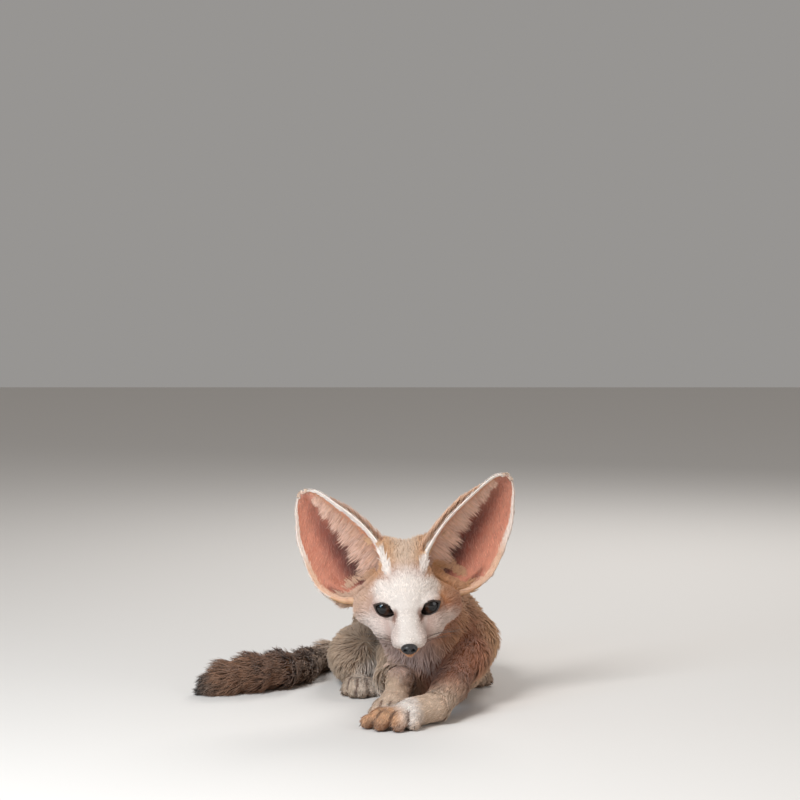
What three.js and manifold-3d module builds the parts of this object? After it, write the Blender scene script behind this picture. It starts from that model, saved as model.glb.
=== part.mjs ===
// A fennec fox lying on its chest with its head up, as a still life-size model.
// Millimetres, +Z up. The fox looks along -Y, so its left side is +X. The floor is Z = 0,
// and the origin is on the floor, under the belly.

import * as THREE from "three";
import { mergeVertices } from "three/addons/utils/BufferGeometryUtils.js";
import Module from "manifold-3d";

const wasm = await Module();
wasm.setup();

// Driving dimensions
const gap = 0.3; // what touching pieces keep apart
const mergeTolerances = [0.06, 0.04, 0.025, 0.015, 0.008, 0.004]; // tried from the first
const nick = 0.4; // radius of the nick taken where a form would touch itself
const headCentre = [-15.9, -110, 86]; // middle of the braincase
const headPitch = 9.5; // degrees that the nose dips below level
const headRoll = -3.2; // degrees, the fox's left eye being the higher one
const eyeRadius = 8.4;
const eyeCentre = [16.4, -22.8, 0.6]; // of the left eye, from the middle of the head
const lidThickness = 1.6;
const earThickness = 2.6; // skin and short fur together
const earDepth = 15; // from the rim to the bottom of the cup
const bodyCell = [12, 15, 12]; // sides of the cells that the torso is wrapped with
const neckCell = [10, 10, 10];
const headCell = [5.1, 6.6, 5.2];
const jawCell = [6, 7.5, 6];
const pawCell = [4.8, 5.2, 5];

const { lerp } = THREE.MathUtils;
const vec = (x, y, z) => new THREE.Vector3(x, y, z);
const at = (point) => vec(...point);
const radians = THREE.MathUtils.degToRad;
const mirrored = ([x, y, z], side) => [side * x, y, z];

// Solids and booleans

// A closed geometry with its places alone, shared between its faces, and its faces turned out.
function bareForm(geometry) {
  const bare = geometry.clone();
  for (const name of Object.keys(bare.attributes)) {
    if (name !== "position") bare.deleteAttribute(name);
  }
  const merged = mergeVertices(bare, 1e-3);
  const faces = merged.index.array;
  let volume = 0;
  for (let i = 0; i < faces.length; i += 3) {
    const [a, b, c] = [0, 1, 2].map((n) =>
      vec().fromBufferAttribute(merged.attributes.position, faces[i + n]),
    );
    volume += a.dot(b.cross(c));
  }
  if (volume < 0) faces.reverse();
  return merged;
}

// A closed geometry as a solid that can be joined and cut.
function solidOf(geometry) {
  const form = bareForm(geometry);
  return new wasm.Manifold(
    new wasm.Mesh({
      numProp: 3,
      vertProperties: form.attributes.position.array,
      triVerts: new Uint32Array(form.index.array),
    }),
  );
}

// Draws together the vertices that a cut has left closer than the tolerance, and drops the
// faces that this closes.
function tidied(geometry, tolerance) {
  const merged = mergeVertices(geometry, tolerance);
  const found = new Map();
  for (let i = 0; i < merged.index.count; i += 3) {
    const face = [0, 1, 2].map((n) => merged.index.getX(i + n));
    const key = [...face].sort((a, b) => a - b).join();
    if (new Set(face).size < 3) continue;
    if (found.has(key)) found.delete(key);
    else found.set(key, face);
  }
  merged.setIndex([...found.values()].flat());
  return merged;
}

// Middles of the edges that more than two faces meet at, where a form touches itself.
function pinches(geometry) {
  const place = geometry.attributes.position;
  const spots = Array.from({ length: place.count }, (_, i) =>
    vec().fromBufferAttribute(place, i),
  );
  const keys = spots.map((spot) => spot.toArray().map((v) => v.toFixed(3)).join());
  const uses = new Map();
  for (let i = 0; i < geometry.index.count; i += 3) {
    const face = [0, 1, 2].map((n) => geometry.index.getX(i + n));
    face.forEach((a, n) => {
      const b = face[(n + 1) % 3];
      const key = [keys[a], keys[b]].sort().join(" ");
      const edge = uses.get(key) ?? { count: 0, middle: spots[a].clone().lerp(spots[b], 0.5) };
      edge.count++;
      uses.set(key, edge);
    });
  }
  return [...uses.values()].filter(({ count }) => count !== 2).map(({ middle }) => middle);
}

// A solid as a geometry, with only its largest closed surface kept, and nicked wherever it
// would touch itself along an edge.
function geometryOf(solid) {
  const largest = solid
    .decompose()
    .reduce((best, body) => (body.volume() > best.volume() ? body : best));
  const mesh = largest.getMesh();
  const geometry = new THREE.BufferGeometry();
  geometry.setAttribute(
    "position",
    new THREE.BufferAttribute(new Float32Array(mesh.vertProperties), 3),
  );
  geometry.setIndex(new THREE.BufferAttribute(new Uint32Array(mesh.triVerts), 1));
  for (const tolerance of mergeTolerances) {
    const tidy = tidied(geometry, tolerance);
    if (pinches(tidy).length) continue;
    try {
      if (solidOf(tidy).decompose().length === 1) return tidy;
    } catch {
      continue;
    }
  }
  const tight = pinches(geometry);
  if (!tight.length) return geometry;
  const nicks = tight.map((spot) => solidOf(egg(spot.toArray(), [nick, nick, nick], 6, 4)));
  return geometryOf(largest.subtract(joined(nicks)));
}

// The same closed surface moved out along its normals.
function swollen(geometry, by = 1.4 * gap) {
  const form = bareForm(geometry);
  form.computeVertexNormals();
  const place = form.attributes.position;
  const normal = form.attributes.normal;
  for (let i = 0; i < place.count; i++) {
    const moved = vec()
      .fromBufferAttribute(place, i)
      .addScaledVector(vec().fromBufferAttribute(normal, i), by);
    place.setXYZ(i, ...moved);
  }
  return form;
}

const joined = (solids) => solids.reduce((sum, next) => sum.add(next));

// Fields: each is the distance from a point to a rounded form, below zero inside it

const blended = (a, b, reach) => {
  const share = Math.max(reach - Math.abs(a - b), 0) / reach;
  return Math.min(a, b) - (share * share * reach) / 4;
};

// An ellipsoid, turned about Z by a number of degrees.
function mass([cx, cy, cz], [rx, ry, rz], turn = 0) {
  const cos = Math.cos(radians(turn));
  const sin = Math.sin(radians(turn));
  return (x, y, z) => {
    const dx = x - cx;
    const dy = y - cy;
    const u = dx * cos + dy * sin;
    const v = dy * cos - dx * sin;
    const w = z - cz;
    const near = Math.hypot(u / rx, v / ry, w / rz);
    const slope = Math.hypot(u / rx ** 2, v / ry ** 2, w / rz ** 2);
    return slope < 1e-9 ? -Math.min(rx, ry, rz) : (near * (near - 1)) / slope;
  };
}

// A limb: round bones end to end, each [x, y, z, radius].
function limb(...joints) {
  return (x, y, z) => {
    let nearest = Infinity;
    for (let i = 1; i < joints.length; i++) {
      const [ax, ay, az, ar] = joints[i - 1];
      const [bx, by, bz, br] = joints[i];
      const [dx, dy, dz] = [bx - ax, by - ay, bz - az];
      const along =
        ((x - ax) * dx + (y - ay) * dy + (z - az) * dz) / (dx * dx + dy * dy + dz * dz);
      const t = Math.min(1, Math.max(0, along));
      const d =
        Math.hypot(x - ax - t * dx, y - ay - t * dy, z - az - t * dz) - ar - t * (br - ar);
      nearest = i === 1 ? d : blended(nearest, d, 6);
    }
    return nearest;
  };
}

// Several forms as one, each flowing into the others over the given reach.
const flesh =
  (reach, ...forms) =>
  (x, y, z) =>
    forms.reduce((sum, form) => blended(sum, form(x, y, z), reach), 1e3);

// Wraps a field's zero level in a closed mesh, with one vertex in each cell that the level
// crosses, slid onto it. The cell has a size along each axis.
function wrapped(field, low, high, cell) {
  const count = low.map((v, i) => Math.ceil((high[i] - v) / cell[i]) + 1);
  const [nx, ny, nz] = count;
  const index = (i, j, k) => (k * ny + j) * nx + i;
  const corner = (i, axis) => low[axis] + i * cell[axis];
  const values = new Float32Array(nx * ny * nz);
  for (let k = 0; k < nz; k++) {
    for (let j = 0; j < ny; j++) {
      for (let i = 0; i < nx; i++) {
        values[index(i, j, k)] = field(corner(i, 0), corner(j, 1), corner(k, 2));
      }
    }
  }
  const steps = [1, nx, nx * ny];
  const edges = [];
  for (let axis = 0; axis < 3; axis++) {
    const others = [0, 1, 2].filter((a) => a !== axis);
    for (const p of [0, 1]) {
      for (const q of [0, 1]) {
        const start = [0, 0, 0];
        start[others[0]] = p;
        start[others[1]] = q;
        edges.push({ start, axis });
      }
    }
  }
  const places = [];
  const vertexOf = new Map();
  const slid = (point) => {
    const h = 0.05;
    let p = point;
    for (let step = 0; step < 3; step++) {
      const d = field(...p);
      const slope = [0, 1, 2].map((a) => {
        const q = [...p];
        q[a] += h;
        return (field(...q) - d) / h;
      });
      const square = slope.reduce((sum, s) => sum + s * s, 1e-9);
      const move = Math.min(Math.abs(d) / square, cell[0] / 4) * Math.sign(d);
      p = p.map((v, a) => v - move * slope[a]);
    }
    return p;
  };
  for (let k = 0; k < nz - 1; k++) {
    for (let j = 0; j < ny - 1; j++) {
      for (let i = 0; i < nx - 1; i++) {
        const sum = [0, 0, 0];
        let crossings = 0;
        for (const { start, axis } of edges) {
          const base = index(i + start[0], j + start[1], k + start[2]);
          const a = values[base];
          const b = values[base + steps[axis]];
          if (a < 0 === b < 0) continue;
          const t = a / (a - b);
          [i, j, k].forEach((n, other) => {
            sum[other] += corner(n + start[other] + (other === axis ? t : 0), other);
          });
          crossings++;
        }
        if (!crossings) continue;
        vertexOf.set(index(i, j, k), places.length / 3);
        places.push(...slid(sum.map((v) => v / crossings)));
      }
    }
  }
  const faces = [];
  const spot = (v) => vec(places[3 * v], places[3 * v + 1], places[3 * v + 2]);
  for (let k = 1; k < nz - 1; k++) {
    for (let j = 1; j < ny - 1; j++) {
      for (let i = 1; i < nx - 1; i++) {
        const here = index(i, j, k);
        for (let axis = 0; axis < 3; axis++) {
          const inside = values[here] < 0;
          if (inside === values[here + steps[axis]] < 0) continue;
          const u = steps[(axis + 1) % 3];
          const v = steps[(axis + 2) % 3];
          const ring = [here, here - u, here - u - v, here - v].map((c) => vertexOf.get(c));
          if (!inside) ring.reverse();
          const [a, b, c, d] = ring;
          if (spot(a).distanceTo(spot(c)) < spot(b).distanceTo(spot(d))) {
            faces.push(a, b, c, a, c, d);
          } else {
            faces.push(a, b, d, b, c, d);
          }
        }
      }
    }
  }
  const geometry = new THREE.BufferGeometry();
  geometry.setAttribute("position", new THREE.Float32BufferAttribute(places, 3));
  geometry.setIndex(faces);
  return geometry;
}

// Lofts

// A closed skin over rings of points, each ring alike in count, with its ends capped: from a
// middle point, or straight across for a ring that is folded flat.
function loft(rings, folded = false) {
  const size = rings[0].length;
  const places = rings.flat().flatMap((p) => [p.x, p.y, p.z]);
  const faces = [];
  for (let r = 1; r < rings.length; r++) {
    for (let i = 0; i < size; i++) {
      const next = (i + 1) % size;
      const a = (r - 1) * size + i;
      const b = (r - 1) * size + next;
      const c = r * size + next;
      const d = r * size + i;
      faces.push(a, b, c, a, c, d);
    }
  }
  for (const [ring, first, turn] of [
    [rings[0], 0, -1],
    [rings.at(-1), (rings.length - 1) * size, 1],
  ]) {
    if (folded) {
      for (let i = 0; i < size / 2 - 1; i++) {
        const [a, b, c, d] = [i, i + 1, size - 2 - i, size - 1 - i].map((n) => first + n);
        if (turn > 0) faces.push(a, b, c, a, c, d);
        else faces.push(a, c, b, a, d, c);
      }
      continue;
    }
    const middle = ring.reduce((sum, p) => sum.add(p), vec(0, 0, 0)).divideScalar(size);
    const hub = places.length / 3;
    places.push(middle.x, middle.y, middle.z);
    for (let i = 0; i < size; i++) {
      const next = (i + 1) % size;
      if (turn > 0) faces.push(first + i, first + next, hub);
      else faces.push(first + next, first + i, hub);
    }
  }
  const geometry = new THREE.BufferGeometry();
  geometry.setAttribute("position", new THREE.Float32BufferAttribute(places, 3));
  geometry.setIndex(faces);
  const merged = mergeVertices(geometry, 1e-3);
  const kept = [];
  for (let i = 0; i < merged.index.count; i += 3) {
    const [a, b, c] = [0, 1, 2].map((n) => merged.index.getX(i + n));
    if (a !== b && b !== c && c !== a) kept.push(a, b, c);
  }
  merged.setIndex(kept);
  return merged;
}

// A round tube through points, each [x, y, z, radius].
function tube(joints, sides, steps) {
  const path = new THREE.CatmullRomCurve3(joints.map((joint) => vec(...joint.slice(0, 3))));
  const rings = [];
  for (let s = 0; s <= steps; s++) {
    const t = s / steps;
    const reach = t * (joints.length - 1);
    const before = Math.min(Math.floor(reach), joints.length - 2);
    const radius = lerp(
      joints[before][3],
      joints[before + 1][3],
      reach - before,
    );
    const centre = path.getPoint(t);
    const ahead = path.getTangent(t);
    const side = vec(0, 0, 1).cross(ahead).normalize();
    const up = ahead.clone().cross(side);
    rings.push(
      Array.from({ length: sides }, (_, i) => {
        const angle = (2 * Math.PI * i) / sides;
        return centre
          .clone()
          .addScaledVector(side, radius * Math.cos(angle))
          .addScaledVector(up, radius * Math.sin(angle));
      }),
    );
  }
  return loft(rings);
}

// An ellipsoid as a mesh.
function egg([x, y, z], [rx, ry, rz], across = 10, along = 7, turn = 0) {
  return new THREE.SphereGeometry(1, across, along)
    .rotateX(Math.PI / 2)
    .scale(rx, ry, rz)
    .rotateZ(radians(turn))
    .translate(x, y, z);
}

// Locks of long hair

// A repeatable source of numbers from 0 to 1.
function chance(seed) {
  let state = seed;
  return () => {
    state = (state * 1664525 + 1013904223) % 4294967296;
    return state / 4294967296;
  };
}

// The nearest point of a field's zero level, with the direction straight out of it there.
function onto(field, point) {
  const h = 0.05;
  let p = [...point];
  let out = vec(0, 0, 1);
  for (let step = 0; step < 8; step++) {
    const d = field(...p);
    const slope = [0, 1, 2].map((a) => {
      const q = [...p];
      q[a] += h;
      return (field(...q) - d) / h;
    });
    out = at(slope).normalize();
    p = p.map((v, a) => v - 0.8 * d * out.getComponent(a));
  }
  return { place: at(p), out };
}

// A flat tapered lock: its root is sunk under the surface, it leaves along the lie of the coat
// and its pointed tip bends back down by the droop.
function lock({ place, out }, lie, { length, width, thickness, sink, lift, droop = 0.25 }) {
  const along = lie.clone().addScaledVector(out, -lie.dot(out)).normalize();
  const side = along.clone().cross(out).normalize();
  const stations = [
    [-0.1, -sink, 0.8],
    [0.28, 0.5 * lift, 1],
    [0.68, lift, 0.62],
    [1, lift * (1 - droop), 0],
  ];
  const rings = stations.map(([t, height, share]) => {
    const centre = place
      .clone()
      .addScaledVector(along, t * length)
      .addScaledVector(out, height);
    const half = (width * share) / 2;
    const thick = (thickness * share ** 0.5) / 2;
    return [
      centre.clone().addScaledVector(side, -half),
      centre.clone().addScaledVector(out, -thick),
      centre.clone().addScaledVector(side, half),
      centre.clone().addScaledVector(out, thick),
    ];
  });
  return loft(rings);
}

// The head, in its own axes: the nose toward -Y, the fox's left toward +X, the middle of the
// braincase at the origin.

const placedHead = (geometry) =>
  geometry
    .rotateX(radians(headPitch))
    .rotateY(radians(headRoll))
    .translate(...headCentre);

const sides = [-1, 1];

const skull = flesh(
  9,
  mass([0, 4, 13], [23, 32, 26]),
  mass([0, -12, 10], [21, 20, 15]),
  mass([21, -2, -7], [19, 23, 18]),
  mass([-21, -2, -7], [19, 23, 18]),
  mass([24, 17, 15], [15, 12, 18]),
  mass([-24, 17, 15], [15, 12, 18]),
  mass([14, -22, -13], [13, 19, 12]),
  mass([-14, -22, -13], [13, 19, 12]),
  mass([0, 16, -12], [26, 22, 20]),
);
const muzzle = flesh(
  6,
  limb([0, -24, -3, 13.5], [0, -44, -8.5, 10], [0, -63, -14.5, 5.6]),
  mass([6.6, -52, -14.6], [7.4, 12, 7.4]),
  mass([-6.6, -52, -14.6], [7.4, 12, 7.4]),
);
const lidBulge = (side) =>
  mass(
    mirrored(eyeCentre, side),
    [1, 1, 1].map(() => eyeRadius + lidThickness),
  );
const upperHead = (x, y, z) => {
  const bulk = blended(skull(x, y, z), muzzle(x, y, z), 10);
  const lids = Math.min(lidBulge(1)(x, y, z), lidBulge(-1)(x, y, z));
  return blended(bulk, lids, 3);
};
const jaw = flesh(
  6,
  limb([0, -20, -20, 13], [0, -42, -21.5, 8], [0, -56, -22.6, 5]),
  mass([0, -8, -20], [20, 16, 12]),
);

// Opening between the lids of the left eye, seen along its axis.
const eyeCorners = [
  [-8.2, -6.6],
  [-6.4, -0.6],
  [-2.2, 4.4],
  [3, 5.8],
  [8, 5],
  [6.6, -0.6],
  [2.4, -4.6],
  [-2.8, -6],
];

// Extrudes an outline, drawn in X and Z, along Y.
function slab(outline, from, to) {
  const shape = new THREE.Shape(outline.map(([x, z]) => new THREE.Vector2(x, z)));
  return new THREE.ExtrudeGeometry(shape, { depth: to - from, bevelEnabled: false })
    .rotateX(Math.PI / 2)
    .translate(0, to, 0);
}

function eyeOpening(side) {
  const [x, , z] = eyeCentre;
  const outline = eyeCorners.map(([dx, dz]) => [side * (x + dx), z + dz]);
  if (side < 0) outline.reverse();
  return slab(outline, eyeCentre[1] - 14, eyeCentre[1] - 2.2);
}

const eyeBall = (side, radius) =>
  egg(mirrored(eyeCentre, side), [radius, radius, radius], 12, 9);

// Nose pad, and the left one of the two nostrils that are sunk in its front.
const nosePad = egg([0, -67.4, -16.2], [6.2, 4.2, 4.3], 12, 8);
const nostril = (side) => egg([side * 2.7, -71, -16], [1.1, 1.9, 0.9], 7, 5, side * 30);

// Where the head is parted from the neck: a plane that leans back as the nape does.
const napePoint = [0, 16, -8];
const napeLean = 44;
function behindNape(turn) {
  return new THREE.BoxGeometry(240, 100, 240)
    .translate(0, turn * (50 - gap / 2), 0)
    .rotateX(radians(-napeLean))
    .translate(...napePoint);
}

// Ears

// Rim of a laid-open ear, from the base to the tip: [along, across] of the edge nearer the
// crown and of the outer edge.
const innerEdge = [
  [-3, -15],
  [4, -23],
  [18, -25.5],
  [34, -25],
  [50, -21.5],
  [64, -17],
  [77, -12.5],
  [84.5, -9],
  [88.5, -4.5],
];
const outerEdge = [
  [-5, 20],
  [8, 26],
  [21, 31],
  [34, 30.5],
  [48, 27.5],
  [62, 23.5],
  [75, 16],
  [83.5, 10.5],
  [88.5, 5],
];
// How deep the cup is at the same stations, as a share of earDepth.
const cupDepth = [0.25, 0.85, 1, 1, 0.88, 0.68, 0.45, 0.2, 0];
const earCrest = 2.4; // rise of the rounded tip over the last station
// Fold of the small pouch beside the outer edge: the rows and column it stands at, its height.
const pouch = { rows: [1, 2], column: 7, height: 3.2 };
// How far in front of its rim the ear keeps the head away, at the same stations.
const earClearance = [8, 14, 22, 22, 22, 22, 22, 22, 22];
const earColumns = 8;

// base and the directions of the ear: up along it, across to its outer edge.
const earSets = {
  right: { side: -1, base: [31, 3, 11], tilt: 35, lean: 27, turn: 6, stretch: 0.93, width: 1 },
  left: { side: 1, base: [30, 3, 11], tilt: 35, lean: 14, turn: 22, stretch: 0.98, width: 1.04 },
};

// Where an ear's own axes stand on the head.
const earPlace = ({ side, base, tilt, lean, turn }) =>
  new THREE.Matrix4()
    .makeTranslation(side * base[0], base[1], base[2])
    .multiply(new THREE.Matrix4().makeRotationY(radians(side * tilt)))
    .multiply(new THREE.Matrix4().makeRotationX(radians(-lean)))
    .multiply(new THREE.Matrix4().makeRotationZ(radians(side * turn)));

// A point of the cup, in the ear's own axes: Z up along the ear, +Y out of its back. The
// level, when given, is a plane in front of the cup instead.
function cupPoint({ side, stretch, width }, row, column, level = null) {
  const share = column / earColumns;
  const [l0, a0] = innerEdge[row];
  const [l1, a1] = outerEdge[row];
  const u = 2 * share - 1;
  const folded = pouch.rows.includes(row) && column === pouch.column;
  const fold = folded ? pouch.height : 0;
  const valley = (1 - u * u) ** 0.75 * cupDepth[row] * earDepth - fold;
  const crest = row === innerEdge.length - 1 ? earCrest * (1 - u * u) : 0;
  const along = lerp(l0, l1, share) + crest;
  return vec(lerp(a0, a1, share) * width * side, level ?? valley, along * stretch);
}

// A closed shell between two matching grids of points.
function shell(front, back) {
  return loft(
    front.map((line, row) => [...line, ...[...back[row]].reverse()]),
    true,
  );
}

const earRows = innerEdge.map((_, row) => row);
const earLines = Array.from({ length: earColumns + 1 }, (_, column) => column);

function earShell(set) {
  const front = earRows.map((row) => earLines.map((column) => cupPoint(set, row, column)));
  const back = earRows.map((row) =>
    earLines.map((column) => {
      const up = cupPoint(set, Math.min(row + 1, earRows.length - 1), column).sub(
        cupPoint(set, Math.max(row - 1, 0), column),
      );
      const over = cupPoint(set, row, Math.min(column + 1, earColumns)).sub(
        cupPoint(set, row, Math.max(column - 1, 0)),
      );
      const out = up.cross(over).normalize();
      if (out.y < 0) out.negate();
      const root = Math.max(0, 1 - row / 3);
      return cupPoint(set, row, column).addScaledVector(out, earThickness + 7 * root * root);
    }),
  );
  return shell(front, back).applyMatrix4(earPlace(set));
}

// What fills the cup and the space before it, to keep the head out of it.
function earCavity(set) {
  const front = earRows.map((row) =>
    earLines.map((column) => cupPoint(set, row, column, -earClearance[row])),
  );
  const back = earRows.map((row) =>
    earLines.map((column) => cupPoint(set, row, column).add(vec(0, 1.3, 0))),
  );
  return shell(front, back).applyMatrix4(earPlace(set));
}

// Body, in its place on the floor

const neckForm = limb([-16, -98, 82, 34], [-9, -82, 72, 35], [4, -60, 58, 36]);
const torsoForm = flesh(
  18,
  mass([10, -52, 38], [41, 48, 42]),
  mass([-4, -4, 38], [41, 48, 41]),
  mass([-18, 46, 38], [43, 46, 41]),
  mass([-5, -92, 34], [26, 22, 32]),
);
// Lengths of each leg with their flesh, joint to joint: [x, y, z, radius].
const limbs = {
  upper_foreleg_left: [[26, -46, 54, 17], [32, -62, 45, 22], [30, -88, 37, 17], [27, -99, 33, 9]],
  lower_foreleg_left: [[25, -97, 34, 13.8], [16, -126, 23, 13.2], [5, -153, 12.5, 11.2]],
  upper_foreleg_right: [[-12, -50, 52, 14], [-18, -58, 36, 20], [-25, -76, 19, 16], [-26, -84, 15, 8]],
  lower_foreleg_right: [[-25, -76, 17, 13.5], [-22, -98, 22, 12.5], [-20.5, -117, 24, 11.5]],
  shank_left: [[26, -26, 18, 12], [30, 10, 18, 14], [35, 56, 13, 11.5], [38, 84, 9, 5]],
  shank_right: [[-56, -24, 18, 12], [-60, 6, 17, 14], [-65, 40, 12, 11.5], [-66, 63, 9, 5]],
};
const hindFeet = {
  hindpaw_left: [[37, 76, 9, 8.5], [38, 50, 8.5, 9.5], [36, 8, 8, 9.5]],
  hindpaw_right: [[-66, 55, 9, 8.5], [-60, 30, 8.5, 9], [-53, -34, 8, 8.8]],
};
const thighs = {
  left: { centre: [24, 8, 30], radii: [30, 45, 28], turn: 8 },
  right: { centre: [-49, -3, 24], radii: [29.5, 45, 26.5], turn: -4 },
};
const limbSides = 10;
const limbSteps = 2; // in each length of bone

// A paw: from the wrist or hock [x, y, z, radius] over the ball to the toe tips [x, y].
const toeRadius = 6;
const toeHeight = 4.8;
function pawForm(root, ball, tips) {
  const toes = tips.map(([x, y]) =>
    limb(
      [lerp(ball[0], x, 0.3), lerp(ball[1], y, 0.3), ball[2], toeRadius + 1],
      [lerp(ball[0], x, 0.72), lerp(ball[1], y, 0.72), toeHeight + 4, toeRadius],
      [x, y, toeHeight, toeRadius - 0.6],
    ),
  );
  const back = limb(root, ball);
  return (x, y, z) =>
    blended(
      back(x, y, z),
      toes.reduce((sum, toe) => blended(sum, toe(x, y, z), 1.6), 1e3),
      5,
    );
}

// Each paw's root, ball and toe tips, from its outer toe to its inner one.
const paws = {
  forepaw_left: {
    root: [4, -153.5, 12.5, 11],
    ball: [-12, -165, 10.5, 11.5],
    tips: [[-9, -178], [-22, -184], [-36, -181], [-45, -171]],
  },
  forepaw_right: {
    root: [-21, -116, 25, 10.5],
    ball: [-24, -125, 13, 9.5],
    tips: [[-39, -139], [-32, -145], [-24, -146], [-17, -142]],
  },
  hindpaw_left: {
    root: [36, 12, 8, 9.5],
    ball: [37, 0, 7.5, 9],
    tips: [[46, -7], [41, -14], [34, -15], [28, -10]],
  },
  hindpaw_right: {
    root: [-53, -32, 8, 8.6],
    ball: [-52, -42, 7.5, 8.4],
    tips: [[-61, -49], [-56, -57], [-50, -58], [-44, -52]],
  },
};

// Tail, from the rump round the haunch to its dark tip: [x, y, z, radius], in three lengths.
const tailLengths = {
  tail_root: [[-28, 74, 24, 14], [-52, 84, 14, 11], [-78, 69, 10.5, 10.5], [-93, 40, 10, 10.5]],
  tail_middle: [[-93, 40, 10, 10.5], [-99, 10, 11, 12], [-113, -14, 13.5, 14.5]],
  tail_tip: [
    [-113, -14, 13.5, 14.5],
    [-132, -29, 14, 15],
    [-150, -38, 12, 13],
    [-163, -43, 8, 8.5],
    [-170, -45, 5, 2.5],
  ],
};
const tailSides = 10;
const tailSteps = 2; // in each length between two stations

// A claw at the end of a toe, leaning forward and down.
function claw(ball, [x, y]) {
  const ahead = vec(x - ball[0], y - ball[1], 0).normalize();
  const tip = vec(x, y, 2.2).addScaledVector(ahead, 5.5);
  return tube([[x, y, 5.6, 2.2], [...tip.toArray(), 0.35]], 4, 1);
}

// Long coat

// Cheek ruff: from below the ear round to the jaw on each side, swept back and out.
const ruffRows = [
  { count: 5, from: [38, -2, 4], to: [22, -22, -30], length: 19 },
  { count: 4, from: [40, 8, -4], to: [18, -6, -34], length: 20 },
];
function cheekLocks() {
  const random = chance(11);
  return sides.flatMap((side) =>
    ruffRows.flatMap(({ count, from, to, length }) =>
      Array.from({ length: count }, (_, i) => {
        const start = mirrored(from, side).map((v, a) =>
          lerp(v, mirrored(to, side)[a], i / (count - 1)),
        );
        const spot = onto(upperHead, start);
        const down = -0.25 - 0.5 * (i / (count - 1));
        const lie = vec(side * (0.55 + 0.2 * random()), 0.7, down + 0.15 * random());
        return placedHead(
          lock(spot, lie, {
            length: length * (0.85 + 0.3 * random()),
            width: 10,
            thickness: 3.2,
            sink: 2.5,
            lift: 3.4,
            droop: 0.1,
          }),
        );
      }),
    ),
  );
}

// Tufts on the crown between the ears, standing up and back.
function crownLocks() {
  const random = chance(23);
  return [-13.5, -4.5, 4.5, 13.5].map((x) =>
    placedHead(
      lock(onto(upperHead, [x, 2 + 4 * random(), 40]), vec(0.02 * x, 1, 0.2), {
        length: 15 + 4 * random(),
        width: 10,
        thickness: 3,
        sink: 2.5,
        lift: 3,
        droop: -0.4,
      }),
    ),
  );
}

// Hair of the ear, rooted along the edge nearer the crown and swept across the cup.
const earHairRows = [0.9, 1.9, 2.9, 3.9, 4.9, 5.8];
function earHair(set) {
  const random = chance(37 + set.side);
  return earHairRows.map((row) => {
    const length = 25 - 2.2 * row;
    const start = 0.7 + 0.5 * random();
    const reach = (column) => {
      const low = cupPoint(set, Math.floor(row), column);
      return low.lerp(cupPoint(set, Math.floor(row) + 1, column), row % 1);
    };
    const root = reach(start);
    const lie = reach(3.6).sub(root);
    lie.z -= 5 + 3 * random();
    return lock({ place: root, out: vec(0, -1, 0) }, lie, {
      length,
      width: 7,
      thickness: 1.6,
      sink: -1.2,
      lift: -3.5,
      droop: -1.2,
    }).applyMatrix4(earPlace(set));
  });
}

// Coat of the back and flanks in rows over the torso, lying back and down from the spine.
const coatRows = { first: -42, last: 74, count: 5 };
const coatAngles = [-64, -32, 0, 32];
function coatLocks() {
  const random = chance(41);
  return Array.from({ length: coatRows.count }, (_, row) =>
    coatAngles.map((angle) => {
      const y = lerp(coatRows.first, coatRows.last, row / (coatRows.count - 1));
      const turn = radians(angle + (row % 2 ? 15 : 0) + 6 * random());
      const spine = lerp(12, -20, (y + 50) / 110);
      const start = [spine + 60 * Math.sin(turn), y + 6 * random(), 38 + 60 * Math.cos(turn)];
      return lock(onto(torsoForm, start), vec(0.25 * Math.sin(turn), 1, -0.3), {
        length: 34 + 6 * random(),
        width: 20,
        thickness: 4.4,
        sink: 3,
        lift: 3,
        droop: 0.2,
      });
    }),
  ).flat();
}

// Long hair of the throat and nape, hanging back and down from behind the head.
function ruffLocks() {
  const random = chance(53);
  return [-80, -40, 0, 40, 80].map((angle) => {
    const turn = radians(angle + 8 * random());
    const start = [-10 + 60 * Math.sin(turn), -80, 66 + 60 * Math.cos(turn)];
    return lock(onto(neckForm, start), vec(0.2 * Math.sin(turn), 1, -0.55), {
      length: 24 + 6 * random(),
      width: 15,
      thickness: 4,
      sink: 3,
      lift: 3.2,
      droop: 0.15,
    });
  });
}

// Coat of a thigh, lying back over it.
function thighLocks(form, side, centre, radii) {
  const random = chance(61 + side);
  return [-0.35, 0.15].flatMap((along, row) =>
    [20, 60].map((angle) => {
      const turn = radians(angle + (row % 2 ? 20 : 0) + 8 * random());
      const start = [
        centre[0] + side * 1.2 * radii[0] * Math.sin(turn),
        centre[1] + along * radii[1],
        centre[2] + 1.2 * radii[2] * Math.cos(turn),
      ];
      return lock(onto(form, start), vec(side * 0.1, 1, -0.35), {
        length: 30 + 6 * random(),
        width: 18,
        thickness: 4,
        sink: 3,
        lift: 2.8,
        droop: 0.2,
      });
    }),
  );
}

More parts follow.
